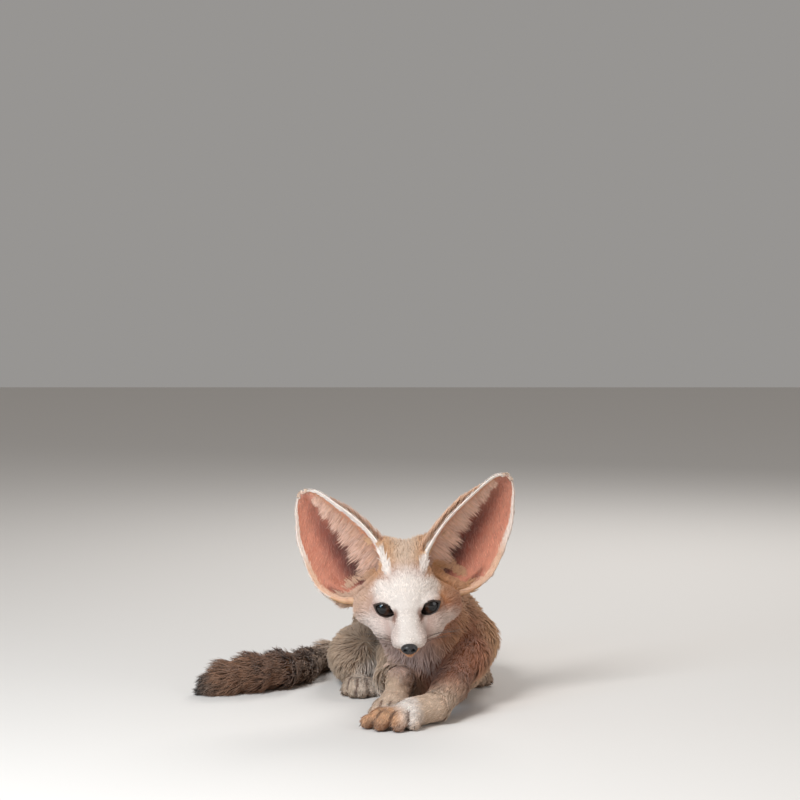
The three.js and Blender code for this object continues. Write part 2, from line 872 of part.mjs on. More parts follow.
// Brush of the tail: rings of locks that lie toward the tip.
function brushLocks(run, name) {
  const random = chance(71 + name.length);
  const line = new THREE.CatmullRomCurve3(run.map(([x, y, z]) => vec(x, y, z)));
  const rings = Math.round(line.getLength() / 28);
  return Array.from({ length: rings }, (_, ring) => {
    const t = (ring + 0.3) / rings;
    const centre = line.getPoint(t);
    const ahead = line.getTangent(t);
    const side = vec(0, 0, 1).cross(ahead).normalize();
    const reach = t * (run.length - 1);
    const before = Math.min(Math.floor(reach), run.length - 2);
    const [near, far] = [run[before], run[before + 1]];
    const radius = lerp(near[3], far[3], reach - before);
    const taper = (near[3] - far[3]) / at(near.slice(0, 3)).distanceTo(at(far.slice(0, 3)));
    return [-66, 0, 66].map((angle) => {
      const turn = radians(angle + 16 * random() - 8 + (ring % 2 ? 16 : -16));
      const out = side
        .clone()
        .multiplyScalar(Math.sin(turn))
        .addScaledVector(ahead.clone().cross(side), Math.cos(turn));
      const place = centre.clone().addScaledVector(out, radius);
      out.addScaledVector(ahead, taper).normalize();
      return lock({ place, out }, ahead, {
        length: 26 + 6 * random(),
        width: 14,
        thickness: 3.6,
        sink: 3,
        lift: 2.4,
        droop: 0.5,
      });
    });
  }).flat();
}

// Nodes

const looks = {
  sand: { color: "#d9b48c", roughness: 0.95 },
  cream: { color: "#efe6da", roughness: 0.95 },
  ear: { color: "#d99a7c", roughness: 0.9 },
  tail: { color: "#b07a50", roughness: 0.95 },
  nose: { color: "#2b2624", roughness: 0.45 },
  eye: { color: "#17110d", roughness: 0.08 },
};

const group = new THREE.Group();
const earlier = [];

// Adds a node, cut clear of the ground and of all that was added before it, except what a
// carved plane already parts it from.
function addNode(name, look, shapes, { carve = [], parted = [] } = {}) {
  let solid = joined(shapes.map(solidOf));
  for (const cutter of carve) solid = solid.subtract(solidOf(cutter));
  const box = solid.boundingBox();
  for (const other of earlier) {
    const apart = [0, 1, 2].some(
      (a) => other.box.min[a] > box.max[a] || other.box.max[a] < box.min[a],
    );
    if (!apart && !parted.includes(other.name)) solid = solid.subtract(other.solid);
  }
  solid = solid.subtract(ground);
  const mesh = new THREE.Mesh(
    geometryOf(solid),
    new THREE.MeshStandardMaterial({ metalness: 0, ...looks[look] }),
  );
  mesh.name = name;
  group.add(mesh);
  const around = joined(shapes.flatMap((shape) => [solidOf(shape), solidOf(swollen(shape))]));
  earlier.push({ name, solid: around, box: around.boundingBox() });
}

const ground = solidOf(new THREE.BoxGeometry(900, 900, 100).translate(0, 0, -50));

for (const [name, side] of [["left", 1], ["right", -1]]) {
  addNode(`eye_${name}`, "eye", [placedHead(eyeBall(side, eyeRadius))]);
}
addNode("nose", "nose", [placedHead(nosePad)], {
  carve: sides.map((side) => placedHead(nostril(side))),
});

const cavities = Object.values(earSets).map((set) => placedHead(earCavity(set)));
for (const [name, set] of Object.entries(earSets)) {
  const shapes = [earShell(set), ...earHair(set)];
  addNode(`ear_${name}`, "ear", shapes.map(placedHead));
}
addNode(
  "head",
  "cream",
  [
    placedHead(wrapped(upperHead, [-54, -78, -50], [54, 46, 50], headCell)),
    ...cheekLocks(),
    ...crownLocks(),
  ],
  {
    carve: [
      ...sides.map((side) => placedHead(eyeOpening(side))),
      ...cavities,
      placedHead(behindNape(1)),
    ],
  },
);
addNode(
  "lower_jaw",
  "cream",
  [placedHead(wrapped(jaw, [-30, -70, -42], [30, 16, 4], jawCell))],
  { carve: [placedHead(behindNape(1))] },
);
addNode("torso", "sand", [
  wrapped(torsoForm, [-90, -135, -30], [80, 120, 105], bodyCell),
  ...coatLocks(),
]);
addNode(
  "neck",
  "sand",
  [wrapped(neckForm, [-70, -155, 5], [62, 0, 135], neckCell), ...ruffLocks()],
  { carve: [placedHead(behindNape(-1))], parted: ["head", "lower_jaw"] },
);
for (const [name, { centre, radii, turn }] of Object.entries(thighs)) {
  const form = mass(centre, radii, turn);
  addNode(`thigh_${name}`, "sand", [
    egg(centre, radii, 18, 12, turn),
    ...thighLocks(form, name === "left" ? 1 : -1, centre, radii),
  ]);
}
for (const [name, run] of Object.entries(limbs)) {
  addNode(name, "sand", [tube(run, limbSides, limbSteps * (run.length - 1))]);
}
for (const [name, { root, ball, tips }] of Object.entries(paws)) {
  const ends = [root, ball, ...tips];
  const low = [0, 1].map((a) => Math.min(...ends.map((e) => e[a])) - 18);
  const high = [0, 1].map((a) => Math.max(...ends.map((e) => e[a])) + 18);
  const foot = hindFeet[name];
  addNode(name, "cream", [
    wrapped(pawForm(root, ball, tips), [...low, -10], [...high, 46], pawCell),
    ...(foot ? [tube(foot, limbSides, limbSteps * 2)] : []),
    ...tips.map((tip) => claw(ball, tip)),
  ]);
}
for (const [name, run] of Object.entries(tailLengths)) {
  addNode(name, "tail", [
    tube(run, tailSides, tailSteps * (run.length - 1)),
    ...brushLocks(run, name),
  ]);
}

export default group;
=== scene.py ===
# A fennec fox lying on its chest with its head up, ears spread and tail along the ground,
# as a still model with its coat. Metres, with sizes written in millimetres and scaled once.
# The fox looks along -Y, its left side is +X, and the floor is Z = 0.

import math

import bpy
import numpy as np
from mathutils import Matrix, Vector, kdtree


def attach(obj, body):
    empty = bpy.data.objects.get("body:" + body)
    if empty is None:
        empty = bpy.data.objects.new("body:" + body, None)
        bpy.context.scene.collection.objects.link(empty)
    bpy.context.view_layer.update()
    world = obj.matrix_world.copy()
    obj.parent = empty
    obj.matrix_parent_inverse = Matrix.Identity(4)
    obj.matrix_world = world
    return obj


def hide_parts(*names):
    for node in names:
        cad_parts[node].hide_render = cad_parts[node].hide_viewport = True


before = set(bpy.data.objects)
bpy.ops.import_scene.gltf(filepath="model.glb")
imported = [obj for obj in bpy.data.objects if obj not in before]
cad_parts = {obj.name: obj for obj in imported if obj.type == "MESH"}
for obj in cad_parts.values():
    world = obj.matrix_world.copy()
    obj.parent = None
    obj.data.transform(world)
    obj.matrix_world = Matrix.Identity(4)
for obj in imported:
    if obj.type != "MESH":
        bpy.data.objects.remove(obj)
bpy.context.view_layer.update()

MM = 0.001


# Skin
# One hide over head, neck, trunk, legs and tail, without a seam. Its shape is the flesh under
# it, drawn in by the depth of the coat at each place, and it is painted with the coat's own
# markings, so that a parting in the fur shows no bare ground.

HEAD_CENTRE = (-15.9, -110, 86)
# How far the head is turned, in degrees.
HEAD_PITCH = 9.5
HEAD_ROLL = -3.2
EYE_CENTRE = (16.4, -22.8, 0.6)  # in the head's own axes, of the left eye
EYE_RADIUS = 8.4
LID = 1.6  # how far the skin stands off the eyeball
# The outline of the eye's opening round that centre, across and up, from its inner corner.
EYE_OUTLINE = [
    (-7, -4.4), (-4.6, 0.8), (-1.2, 4), (3, 4.6), (6.6, 2.4), (5.2, -1.8), (1.4, -4.4), (-3.2, -5.2)
]


def turning(about_x, about_y, about_z=0):
    """Rotation about Z, then X, then Y, by angles in degrees."""
    cx, cy, cz = [math.cos(math.radians(a)) for a in (about_x, about_y, about_z)]
    sx, sy, sz = [math.sin(math.radians(a)) for a in (about_x, about_y, about_z)]
    turn_x = np.array([[1, 0, 0], [0, cx, -sx], [0, sx, cx]])
    turn_y = np.array([[cy, 0, sy], [0, 1, 0], [-sy, 0, cy]])
    turn_z = np.array([[cz, -sz, 0], [sz, cz, 0], [0, 0, 1]])
    return turn_y @ turn_x @ turn_z


HEAD_TURN = turning(HEAD_PITCH, HEAD_ROLL)


def in_head(p):
    """Places in the head's own axes, with its middle at the origin."""
    return (p - np.array(HEAD_CENTRE)) @ HEAD_TURN


def out_of_head(p):
    return np.asarray(p, float) @ HEAD_TURN.T + np.array(HEAD_CENTRE)


def mirrored(q):
    """Places in the head's own axes, with its right half laid over its left."""
    return q * np.where(q[..., :1] < 0, [-1, 1, 1], [1, 1, 1])


def melt(a, b, reach):
    """The nearer of two distances, flowing into each other over the reach."""
    share = np.maximum(reach - np.abs(a - b), 0) / reach
    return np.minimum(a, b) - share * share * reach / 4


def mass(p, centre, radii, turn=0):
    """Distance to an egg-shaped mass of flesh."""
    c, s = math.cos(math.radians(turn)), math.sin(math.radians(turn))
    d = p - np.array(centre, float)
    u = np.stack([d[..., 0] * c + d[..., 1] * s, d[..., 1] * c - d[..., 0] * s, d[..., 2]], -1)
    near = np.linalg.norm(u / np.array(radii), axis=-1)
    slope = np.linalg.norm(u / np.array(radii, float) ** 2, axis=-1) + 1e-9
    return near * (near - 1) / slope


def bones(p, joints, reach=6):
    """Distance to a run of round bones with their flesh, each joint [x, y, z, radius]."""
    nearest = None
    for a, b in zip(joints, joints[1:]):
        a, b = np.array(a, float), np.array(b, float)
        run = b[:3] - a[:3]
        t = np.clip((p - a[:3]) @ run / (run @ run), 0, 1)
        d = np.linalg.norm(p - a[:3] - t[..., None] * run, axis=-1) - a[3] - t * (b[3] - a[3])
        nearest = d if nearest is None else melt(nearest, d, reach)
    return nearest


def melted(reach, *distances):
    """Several distances, each flowing into those before it."""
    whole = distances[0]
    for d in distances[1:]:
        whole = melt(whole, d, reach)
    return whole


def upper_head(p):
    q = in_head(p)
    side = mirrored(q)
    skull = melted(
        9,
        mass(q, (0, 4, 13), (23, 32, 26)),  # braincase
        mass(q, (0, -12, 10), (21, 20, 15)),  # forehead
        mass(side, (21, -2, -4.5), (18.5, 22, 16)),  # cheeks
        mass(side, (24, 17, 15), (15, 12, 18)),  # behind the ears
        mass(side, (15, 11, 29), (12, 15, 11)),  # crown beside the ears
        mass(side, (14, -22, -13), (13, 19, 12)),  # below the eyes
        mass(q, (0, 16, -12), (26, 22, 20)),  # back of the head, below
    )
    muzzle = melted(
        6,
        bones(q, [(0, -24, -3, 13.5), (0, -44, -8.5, 10), (0, -63, -14.5, 5.6)]),
        mass(side, (6.6, -52, -14.6), (7.4, 12, 7.4)),
    )
    lids = mass(side, EYE_CENTRE, [EYE_RADIUS + LID] * 3)
    whole = melt(melt(skull, muzzle, 10), lids, 4)
    for ear in EARS.values():
        u = off_head(ear, p) * np.array([ear["side"], 1, 1])
        root, inner_root = mass(u, (8, 8, 3), (19, 9, 13)), mass(u, (-13, 9, 12), (10, 8, 20))
        whole = melted(7, whole, root, inner_root)
    return whole


def past_opening(q, side):
    """How far places in the head's axes lie outside the outline of an eye's opening."""
    dx, dz = side * q[..., 0] - EYE_CENTRE[0], q[..., 2] - EYE_CENTRE[2]
    corner = np.array(EYE_OUTLINE)
    angles = np.arctan2(corner[:, 1], corner[:, 0])
    order = np.argsort(angles)
    sizes = np.linalg.norm(corner, axis=1)[order]
    return np.hypot(dx, dz) - np.interp(np.arctan2(dz, dx), angles[order], sizes, period=2 * math.pi)


def eye_hollow(p):
    """Distance to the openings that the skin leaves before the two eyeballs."""
    q = in_head(p)
    before = q[..., 1] - EYE_CENTRE[1] - 1
    return np.minimum(*[np.maximum(past_opening(q, side) - 0.4, before) for side in (-1, 1)])


def lower_jaw(p):
    q = in_head(p)
    return melted(
        6,
        bones(q, [(0, -20, -20, 13), (0, -42, -21.5, 8), (0, -56, -22.6, 5)]),
        mass(q, (0, -8, -20), (20, 16, 12)),
    )


NECK = [(-16, -98, 82, 34), (-9, -82, 72, 35), (4, -60, 58, 36)]


def torso(p):
    return melted(
        18,
        mass(p, (10, -52, 38), (41, 48, 42)),
        mass(p, (-4, -4, 38), (41, 48, 41)),
        mass(p, (-18, 46, 38), (43, 46, 41)),
        mass(p, (-5, -92, 34), (26, 22, 32)),
    )


LIMBS = {
    "upper_foreleg_left": [(26, -46, 54, 17), (32, -62, 45, 22), (30, -88, 37, 17), (27, -99, 33, 12)],
    "lower_foreleg_left": [(25, -97, 34, 13.8), (16, -126, 23, 13.2), (5, -153, 12.5, 11.2)],
    "upper_foreleg_right": [(-12, -50, 52, 14), (-18, -58, 36, 20), (-25, -76, 19, 16)],
    "lower_foreleg_right": [(-25, -76, 17, 13.5), (-22, -98, 22, 12.5), (-20.5, -117, 24, 11.5)],
    "shank_left": [(26, -26, 18, 12), (30, 10, 18, 14), (35, 56, 13, 11.5), (37, 76, 10, 7)],
    "shank_right": [(-56, -24, 18, 12), (-60, 6, 17, 14), (-65, 40, 12, 11.5), (-66, 56, 10, 7)],
    "hindfoot_left": [(37, 76, 9, 8), (38, 50, 8.5, 9.5), (36, 8, 8, 9.5)],
    "hindfoot_right": [(-66, 55, 9, 8), (-60, 30, 8.5, 9), (-53, -34, 8, 8.8)],
}
THIGHS = {
    "thigh_left": ((24, 8, 30), (30, 45, 28), 8),
    "thigh_right": ((-49, -3, 24), (29.5, 45, 26.5), -4),
}
# Each paw: the wrist or hock, the pad, and the tips of its four toes.
PAWS = {
    "forepaw_left": (
        (4, -153.5, 12.5, 11), (-12, -165, 10.5, 11.5), [(-11, -178), (-22, -184), (-35, -181), (-44, -172)]
    ),
    "forepaw_right": (
        (-21, -116, 25, 10.5), (-24, -125, 13, 9.5), [(-39, -139), (-32, -145), (-24, -146), (-17, -142)]
    ),
    "hindpaw_left": (
        (36, 12, 8, 9.5), (37, 0, 7.5, 9), [(46, -7), (41, -14), (34, -15), (28, -10)]
    ),
    "hindpaw_right": (
        (-53, -32, 8, 8.6), (-52, -42, 7.5, 8.4), [(-61, -49), (-56, -57), (-50, -58), (-44, -52)]
    ),
}
TOE_RADIUS = 6.3
TOE_HEIGHT = 5
TAIL = [
    (-28, 74, 24, 14), (-52, 84, 14, 11), (-78, 69, 10.5, 10.5), (-93, 40, 10, 10.5),
    (-99, 10, 11, 12), (-113, -14, 13.5, 14.5), (-132, -29, 14, 15), (-150, -38, 12, 13),
    (-163, -43, 8, 8.5), (-170, -45, 5, 4),
]
TAIL_BONE = 0.62  # the tail's flesh as a share of its brush


def paw(p, root, pad, tips):
    """Distance to a paw: its pad and its toes, each with a raised knuckle."""
    toes = []
    for x, y in tips:
        base, knuckle = [(pad[0] + t * (x - pad[0]), pad[1] + t * (y - pad[1])) for t in (0.3, 0.72)]
        joints = [
            (*base, pad[2], TOE_RADIUS + 1),
            (*knuckle, TOE_HEIGHT + 4, TOE_RADIUS),
            (x, y, TOE_HEIGHT, TOE_RADIUS - 0.6),
        ]
        toes.append(bones(p, joints, 2))
    return melt(bones(p, [root, pad]), melted(3.5, *toes), 4)


def around(joints, margin=8):
    """The box that a run of joints needs."""
    j = np.array(joints, float)
    room = j[:, 3].max() + margin
    return j[:, :3].min(0) - room, j[:, :3].max(0) + room


# Each form of flesh: its kind, its distance, its box, how far it flows into what came before
# it, and how deep its coat is.
FLESH = [
    ("head", upper_head, ((-66, -190, 34), (34, -66, 140)), 3, 1.1),
    ("jaw", lower_jaw, ((-60, -182, 30), (28, -84, 92)), 1.6, 1.1),
    ("neck", lambda p: bones(p, NECK), around(NECK, 14), 12, 4),
    ("torso", torso, ((-76, -132, -14), (66, 106, 94)), 14, 4.5),
]
for centre, radii, turn in THIGHS.values():
    room = np.array(radii) + 12
    box = (np.array(centre) - room, np.array(centre) + room)
    FLESH.append(("thigh", lambda p, f=(centre, radii, turn): mass(p, *f), box, 6, 4))
for name, run in LIMBS.items():
    depth = 3 if name.startswith("upper") else 1.8
    FLESH.append((name, lambda p, f=run: bones(p, f), around(run), 7, depth))
for name, (root, pad, tips) in PAWS.items():
    ends = [(*tip, 0) for tip in tips] + [root[:3], pad[:3]]
    box = (np.min(ends, axis=0) - 18, np.max(ends, axis=0) + 18)
    FLESH.append((name, lambda p, f=(root, pad, tips): paw(p, *f), box, 4, 0.9))
TAIL_CORE = [(x, y, z, TAIL_BONE * r) for x, y, z, r in TAIL]
FLESH.append(("tail", lambda p: bones(p, TAIL_CORE), around(TAIL_CORE), 6, 0))
FLOOR_FILM = 0.3  # how far the skin stays off the floor


def hide(p, kinds=False):
    """Distance to the skin at places in rows, and the number of the nearest form."""
    whole = np.full(len(p), 1e3)
    nearest = np.full(len(p), 1e3)
    kind = np.zeros(len(p), int)
    for n, (_, field, (low, high), reach, depth) in enumerate(FLESH):
        here = np.all((p > low) & (p < high), axis=1)
        d = field(p[here]) + depth
        whole[here] = melt(whole[here], d, reach)
        closer = d < nearest[here]
        spots = np.flatnonzero(here)[closer]
        nearest[spots] = d[closer]
        kind[spots] = n
    for ear in EARS.values():
        whole = -melt(-whole, ear_hollow(ear, p), 2)
    whole = np.maximum(whole, -eye_hollow(p))
    whole = np.maximum(whole, FLOOR_FILM - p[:, 2])
    return (whole, kind) if kinds else whole


def steps(*stretches):
    """Grid lines from one place to the next, each stretch (from, to, spacing)."""
    lines = [np.arange(a, b, spacing) for a, b, spacing in stretches]
    return np.concatenate(lines + [[stretches[-1][1]]])


FACE_BACK = -60  # the ears and the eyes lie before this Y
FACE_FOOT = 60  # and above this Z


def sampled(xs, ys, zs):
    """The distance to the skin at every crossing of the grid lines."""
    values = np.full((len(xs), len(ys), len(zs)), 1e3, np.float32)
    for _, field, (low, high), reach, depth in FLESH:
        ranges = [
            slice(*np.searchsorted(line, (low[axis], high[axis])))
            for axis, line in enumerate((xs, ys, zs))
        ]
        grid = np.stack(
            np.meshgrid(*[line[r] for line, r in zip((xs, ys, zs), ranges)], indexing="ij"), -1
        )
        values[tuple(ranges)] = melt(values[tuple(ranges)], field(grid) + depth, reach)
    before, above = np.flatnonzero(ys < FACE_BACK), np.flatnonzero(zs > FACE_FOOT)
    grid = np.stack(np.meshgrid(xs, ys[before], zs[above], indexing="ij"), -1)
    block = np.ix_(range(len(xs)), before, above)
    for ear in EARS.values():
        values[block] = -melt(-values[block], ear_hollow(ear, grid), 2)
    values[block] = np.maximum(values[block], -eye_hollow(grid))
    return np.maximum(values, FLOOR_FILM - zs[None, None, :])


def wrapped(xs, ys, zs, values):
    """A closed mesh round all that is below zero: a point in each cell that the skin crosses."""
    lines = (xs, ys, zs)
    shape = np.array(values.shape) - 1
    inside = values < 0
    cells, sums, quads = [], [], []
    for axis in range(3):
        first = [slice(None)] * 3
        second = [slice(None)] * 3
        first[axis], second[axis] = slice(0, -1), slice(1, None)
        crossed = np.argwhere(inside[tuple(first)] != inside[tuple(second)])
        others = [a for a in range(3) if a != axis]
        kept = np.all((crossed[:, others] > 0) & (crossed[:, others] < shape[others]), axis=1)
        crossed = crossed[kept]
        beyond = crossed.copy()
        beyond[:, axis] += 1
        a, b = values[tuple(crossed.T)], values[tuple(beyond.T)]
        spots = np.stack([lines[n][crossed[:, n]] for n in range(3)], 1)
        spots[:, axis] += a / (a - b) * (lines[axis][beyond[:, axis]] - spots[:, axis])
        ring = []
        for du, dv in ((0, 0), (1, 0), (1, 1), (0, 1)):
            cell = crossed.copy()
            cell[:, (axis + 1) % 3] -= du
            cell[:, (axis + 2) % 3] -= dv
            ring.append(np.ravel_multi_index(tuple(cell.T), shape))
        ring = np.stack(ring, 1)
        cells.append(ring.ravel())
        sums.append(np.repeat(spots, 4, axis=0))
        entering = ~inside[tuple(crossed.T)]
        quads.append(np.where(entering[:, None], ring[:, ::-1], ring))
    cells, sums, quads = np.concatenate(cells), np.concatenate(sums), np.concatenate(quads)
    used, place = np.unique(cells, return_inverse=True)
    count = np.bincount(place)
    points = np.stack([np.bincount(place, sums[:, n]) / count for n in range(3)], 1)
    return points, np.searchsorted(used, quads)


def unit(rows):
    """Directions of length one."""
    return rows / (np.linalg.norm(rows, axis=-1, keepdims=True) + 1e-9)


def outward(p, h=0.08):
    """Distance to the skin and the direction straight out of it, at each place."""
    base = hide(p)
    return base, unit(np.stack([hide(p + h * step) - base for step in np.eye(3)], 1))


def mesh_of(name, points, faces, smooth=True):
    """A mesh object from rows of places in millimetres and rows of three or four corners."""
    mesh = bpy.data.meshes.new(name)
    faces = np.asarray(faces, np.int32)
    mesh.vertices.add(len(points))
    mesh.vertices.foreach_set("co", (np.asarray(points) * MM).astype(np.float32).ravel())
    mesh.loops.add(faces.size)
    mesh.loops.foreach_set("vertex_index", faces.ravel())
    mesh.polygons.add(len(faces))
    mesh.polygons.foreach_set("loop_start", np.arange(0, faces.size, faces.shape[1], dtype=np.int32))
    mesh.polygons.foreach_set("use_smooth", np.full(len(faces), smooth))
    mesh.update(calc_edges=True)
    mesh.validate()
    piece = bpy.data.objects.new(name, mesh)
    bpy.context.scene.collection.objects.link(piece)
    return piece


def store(piece, name, values):
    """Keeps a number or a colour for each point of a mesh."""
    values = np.asarray(values, np.float32)
    if values.ndim == 1:
        layer = piece.data.attributes.new(name, "FLOAT", "POINT")
        layer.data.foreach_set("value", values)
    else:
        layer = piece.data.attributes.new(name, "FLOAT_COLOR", "POINT")
        rgba = np.column_stack([values, np.ones(len(values))])
        layer.data.foreach_set("color", rgba.astype(np.float32).ravel())


def rgb(code):
    """A colour written as on a paint card, #rrggbb, in linear light."""
    s = np.array([int(code[n:n + 2], 16) for n in (1, 3, 5)]) / 255
    return np.where(s <= 0.04045, s / 12.92, ((s + 0.055) / 1.055) ** 2.4)


def near(p, centre, radii, soft):
    """1 inside an egg round the centre, falling to 0 past its edge over a share of its size."""
    d = np.linalg.norm((p - np.array(centre)) / np.array(radii, float), axis=1)
    return np.clip((1 + soft - d) / soft, 0, 1)


def layered(base, *layers):
    """Colours laid one over another, each (colour, share at each place)."""
    for colour, share in layers:
        base = base + (colour - base) * share[:, None]
    return base


# Colours of the coat.
SAND = rgb("#b58a68")
FAWN = rgb("#c79a72")
RUST = rgb("#96583a")
PALE = rgb("#d3bda8")
ASH = rgb("#988069")
WHITE = rgb("#ebded4")
ROSE = rgb("#c3a498")
TAN = rgb("#b9814f")
# dark brown of the tear lines, used also as painted shade under the reaching paw's toes
TEAR_AND_SHADE = rgb("#7a4a30")
LIP = rgb("#c58657")
TOE = rgb("#cd9a70")
# painted shade for the clefts between the toes
CLEFT_SHADE = rgb("#4d2c1c")
CHAR = rgb("#2a1c15")
# the tail's own brown, darkened partly as painted shade
TAIL_BROWN = rgb("#7a5135")
# painted shade for the tail where it lies behind the haunch
TAIL_PAINTED_SHADE = rgb("#5d402c")

# Where the white inner rim of each ear runs on over the forehead, in the head's own axes.
RIM_FOOT = [(17.5, -4, 33, 1.1), (14.5, -14, 28, 1.1), (10, -19.5, 22, 0.6)]


def shade_between_toes(p):
    """1 in the clefts between the toes, where shade is painted dark on the fur, and 0 a little off."""
    nearest = np.full((2, len(p)), 1e3)
    for _, pad, tips in PAWS.values():
        for x, y in tips:
            run = np.array([x - pad[0], y - pad[1]])
            t = np.clip((p[:, :2] - np.array(pad[:2])) @ run / (run @ run), 0, 1)
            d = np.linalg.norm(p[:, :2] - np.array(pad[:2]) - t[:, None] * run, axis=1)
            d = d + 30 * np.clip(0.55 - t, 0, 1)
            nearest = np.sort(np.vstack([nearest, d]), axis=0)[:2]
    return np.clip(1.3 - (nearest[1] - nearest[0]) / 2.2, 0, 1) * (nearest[0] < 9) * (p[:, 2] < 15)


def markings(p):
    """The colour of the coat at each place: sandy back, pale belly, and the face's marks."""
    q = in_head(p)
    side = mirrored(q)
    back = np.clip((p[:, 2] - 18) / 40, 0, 1)
    left = np.clip((p[:, 0] + 26) / 26, 0, 1)
    body = layered(
        PALE,
        (SAND, 0.3 + 0.7 * back),
        (ASH, 0.75 * near(p, (-52, -10, 26), (42, 60, 40), 0.6)),  # right haunch, grey-beige: partly its own colour, partly painted shade
        (FAWN, 0.7 * near(p, (46, -70, 60), (30, 46, 34), 0.8)),  # left shoulder
        (RUST, 0.9 * left * near(p, (4, -104, 50), (36, 34, 36), 0.6)),  # chest, rust: partly the coat's own colour, partly painted shadow under the chin
        (ASH, 0.5 * near(p, (-24, -96, 24), (16, 26, 16), 0.5)),  # right foreleg, grey-beige: partly its own colour, partly painted shade
        (WHITE, 0.8 * near(p, (-30, -50, 12), (18, 22, 14), 0.7)),  # belly
    )
    nape = np.clip((q[:, 1] - 12) / 14, 0, 1) * np.clip((40 - q[:, 2]) / 12, 0, 1)
    face = layered(
        ROSE,
        (TAN, 0.85 * near(q, (34, 2, -2), (15, 34, 30), 0.8)),  # left of the head, tan: partly the coat's own colour, partly painted shade and warm bounce light
        (RUST, 0.75 * near(q, (27, -14, -14), (13, 24, 14), 0.8)),  # left cheek, rust: partly the coat's own colour, partly painted shade and warm bounce light
        (FAWN, 0.5 * near(q, (-38, 6, 6), (12, 24, 22), 0.8)),  # right of the head
        (TAN, 0.85 * near(side, (18, 8, 32), (12, 20, 18), 0.8)),  # roots of the ears
        (FAWN, 0.75 * near(q, (0, 8, 40), (26, 24, 15), 0.6)),  # crown
        (PALE, 0.6 * near(q, (0, 8, 38), (7, 24, 16), 0.8)),  # middle of the crown
        (WHITE, near(q, (0, -24, 8), (13, 26, 14), 0.6)),  # forehead
        (WHITE, near(q, (0, -46, -2), (11.5, 28, 15), 0.35)),  # bridge of the nose
        (WHITE, 0.85 * near(side, (19, -26, 13), (9, 10, 5), 0.8)),  # brows
        (WHITE, np.clip(1.6 - bones(side, RIM_FOOT) / 1.5, 0, 1)),  # feet of the ears' rims
        (WHITE, 0.55 * near(side, (20, -24, -14), (12, 14, 8), 0.8)),  # below the eyes
        (TEAR_AND_SHADE, 0.95 * near(side, (8.6, -36, -5.5), (2.2, 8, 5.5), 0.7)),  # tear lines
        (WHITE, 0.8 * near(side, (7, -56, -15), (8, 11, 6), 0.5)),  # upper lips
        (ROSE, 0.45 * near(side, (11.5, -46, -9), (4, 14, 8), 0.9)),  # painted shade on the sides of the muzzle
        (LIP, 0.9 * near(q, (0, -58, -26), (15, 14, 6), 0.4)),  # lower lip and chin
        (SAND, nape),
    )
    reaching_paw = layered(
        WHITE,
        (TOE, 0.95 * near(p, (-40, -180, 6), (19, 15, 14), 0.5)),
        # painted shade along the undersides of the toes, where they meet the floor
        (TEAR_AND_SHADE, 0.6 * near(p, (-38, -186, 2), (20, 12, 5), 0.8)),
    )
    tail = layered(
        TAIL_BROWN,
        # painted shade, darker toward the root where the tail lies behind the haunch
        (TAIL_PAINTED_SHADE, 0.7 * np.clip(p[:, 1] / 60, 0, 1)),
        (CHAR, np.clip((-p[:, 0] - 152) / 16, 0, 1)),
    )
    on_tail = np.clip((-p[:, 0] - 70) / 40, 0, 1) * (p[:, 2] < 40) * (p[:, 1] > -75)
    return layered(
        body,
        (face, near(q, (0, -14, -2), (48, 60, 44), 0.25)),
        (reaching_paw, near(p, (-31, -170, 10), (23, 22, 20), 0.25)),
        (PALE, 0.6 * near(p, (-50, -54, 6), (18, 14, 10), 0.5)),  # right hind foot, duller than the white belly: partly its own pale fur, partly painted shade
        # painted shade in the clefts between the toes
        (CLEFT_SHADE, 0.85 * shade_between_toes(p)),
        (tail, on_tail),
    )


class Term:
    """A socket of a finish. Arithmetic on it adds the Math nodes that work it out."""

    def __init__(self, finish, socket):
        self.finish = finish
        self.socket = socket

    def maths(self, operation, *values):
        settings = {"operation": operation}
        return self.finish.node("ShaderNodeMath", settings, dict(enumerate(values)))

    def __add__(self, other):
        return self.maths("ADD", self, other)

    def __sub__(self, other):
        return self.maths("SUBTRACT", self, other)

    def __rsub__(self, other):
        return self.maths("SUBTRACT", other, self)

    def __mul__(self, other):
        return self.maths("MULTIPLY", self, other)

    def __pow__(self, other):
        return self.maths("POWER", self, other)

    __radd__ = __add__
    __rmul__ = __mul__

    def spread(self, low, high):
        """0 at the low value, 1 at the high one, held to that range."""
        share = (self - low) * (1 / (high - low))
        return share.maths("MINIMUM", share.maths("MAXIMUM", share, 0), 1)


class Finish:
    """A material and its nodes."""

    def __init__(self, name):
        self.material = bpy.data.materials.new(name)
        self.material.use_nodes = True
        self.tree = self.material.node_tree
        self.tree.nodes.clear()

    def node(self, kind, settings=None, inputs=None, output=0):
        made = self.tree.nodes.new(kind)
        for key, value in (settings or {}).items():
            setattr(made, key, value)
        for key, value in (inputs or {}).items():
            if isinstance(value, Term):
                self.tree.links.new(value.socket, made.inputs[key])
            else:
                made.inputs[key].default_value = value
        return Term(self, made.outputs[output]) if made.outputs else None

    def stored(self, name, output=0):
        """What a mesh keeps for each of its points: a colour, or a number from output 2."""
        return self.node("ShaderNodeAttribute", {"attribute_name": name}, None, output)

    def mixed(self, low, high, share):
        """A colour between two, by a share."""
        low, high = [c if isinstance(c, Term) else (*c, 1) for c in (low, high)]
        return self.node("ShaderNodeMix", {"data_type": "RGBA"}, {0: share, 6: low, 7: high}, output=2)

    def noise(self, scale, detail, rough=0.5):
        place = self.node("ShaderNodeTexCoord", output=3)
        inputs = {"Vector": place, "Scale": scale, "Detail": detail, "Roughness": rough}
        return self.node("ShaderNodeTexNoise", None, inputs)

    def bump(self, height, distance):
        return self.node("ShaderNodeBump", None, {"Height": height, "Distance": distance})

    def surface(self, **inputs):
        """The shader itself, by the names of its sockets with _ for each space."""
        named = {key.replace("_", " "): value for key, value in inputs.items()}
        shader = self.node("ShaderNodeBsdfPrincipled", None, named)
        self.node("ShaderNodeOutputMaterial", None, {"Surface": shader})
        return self.material


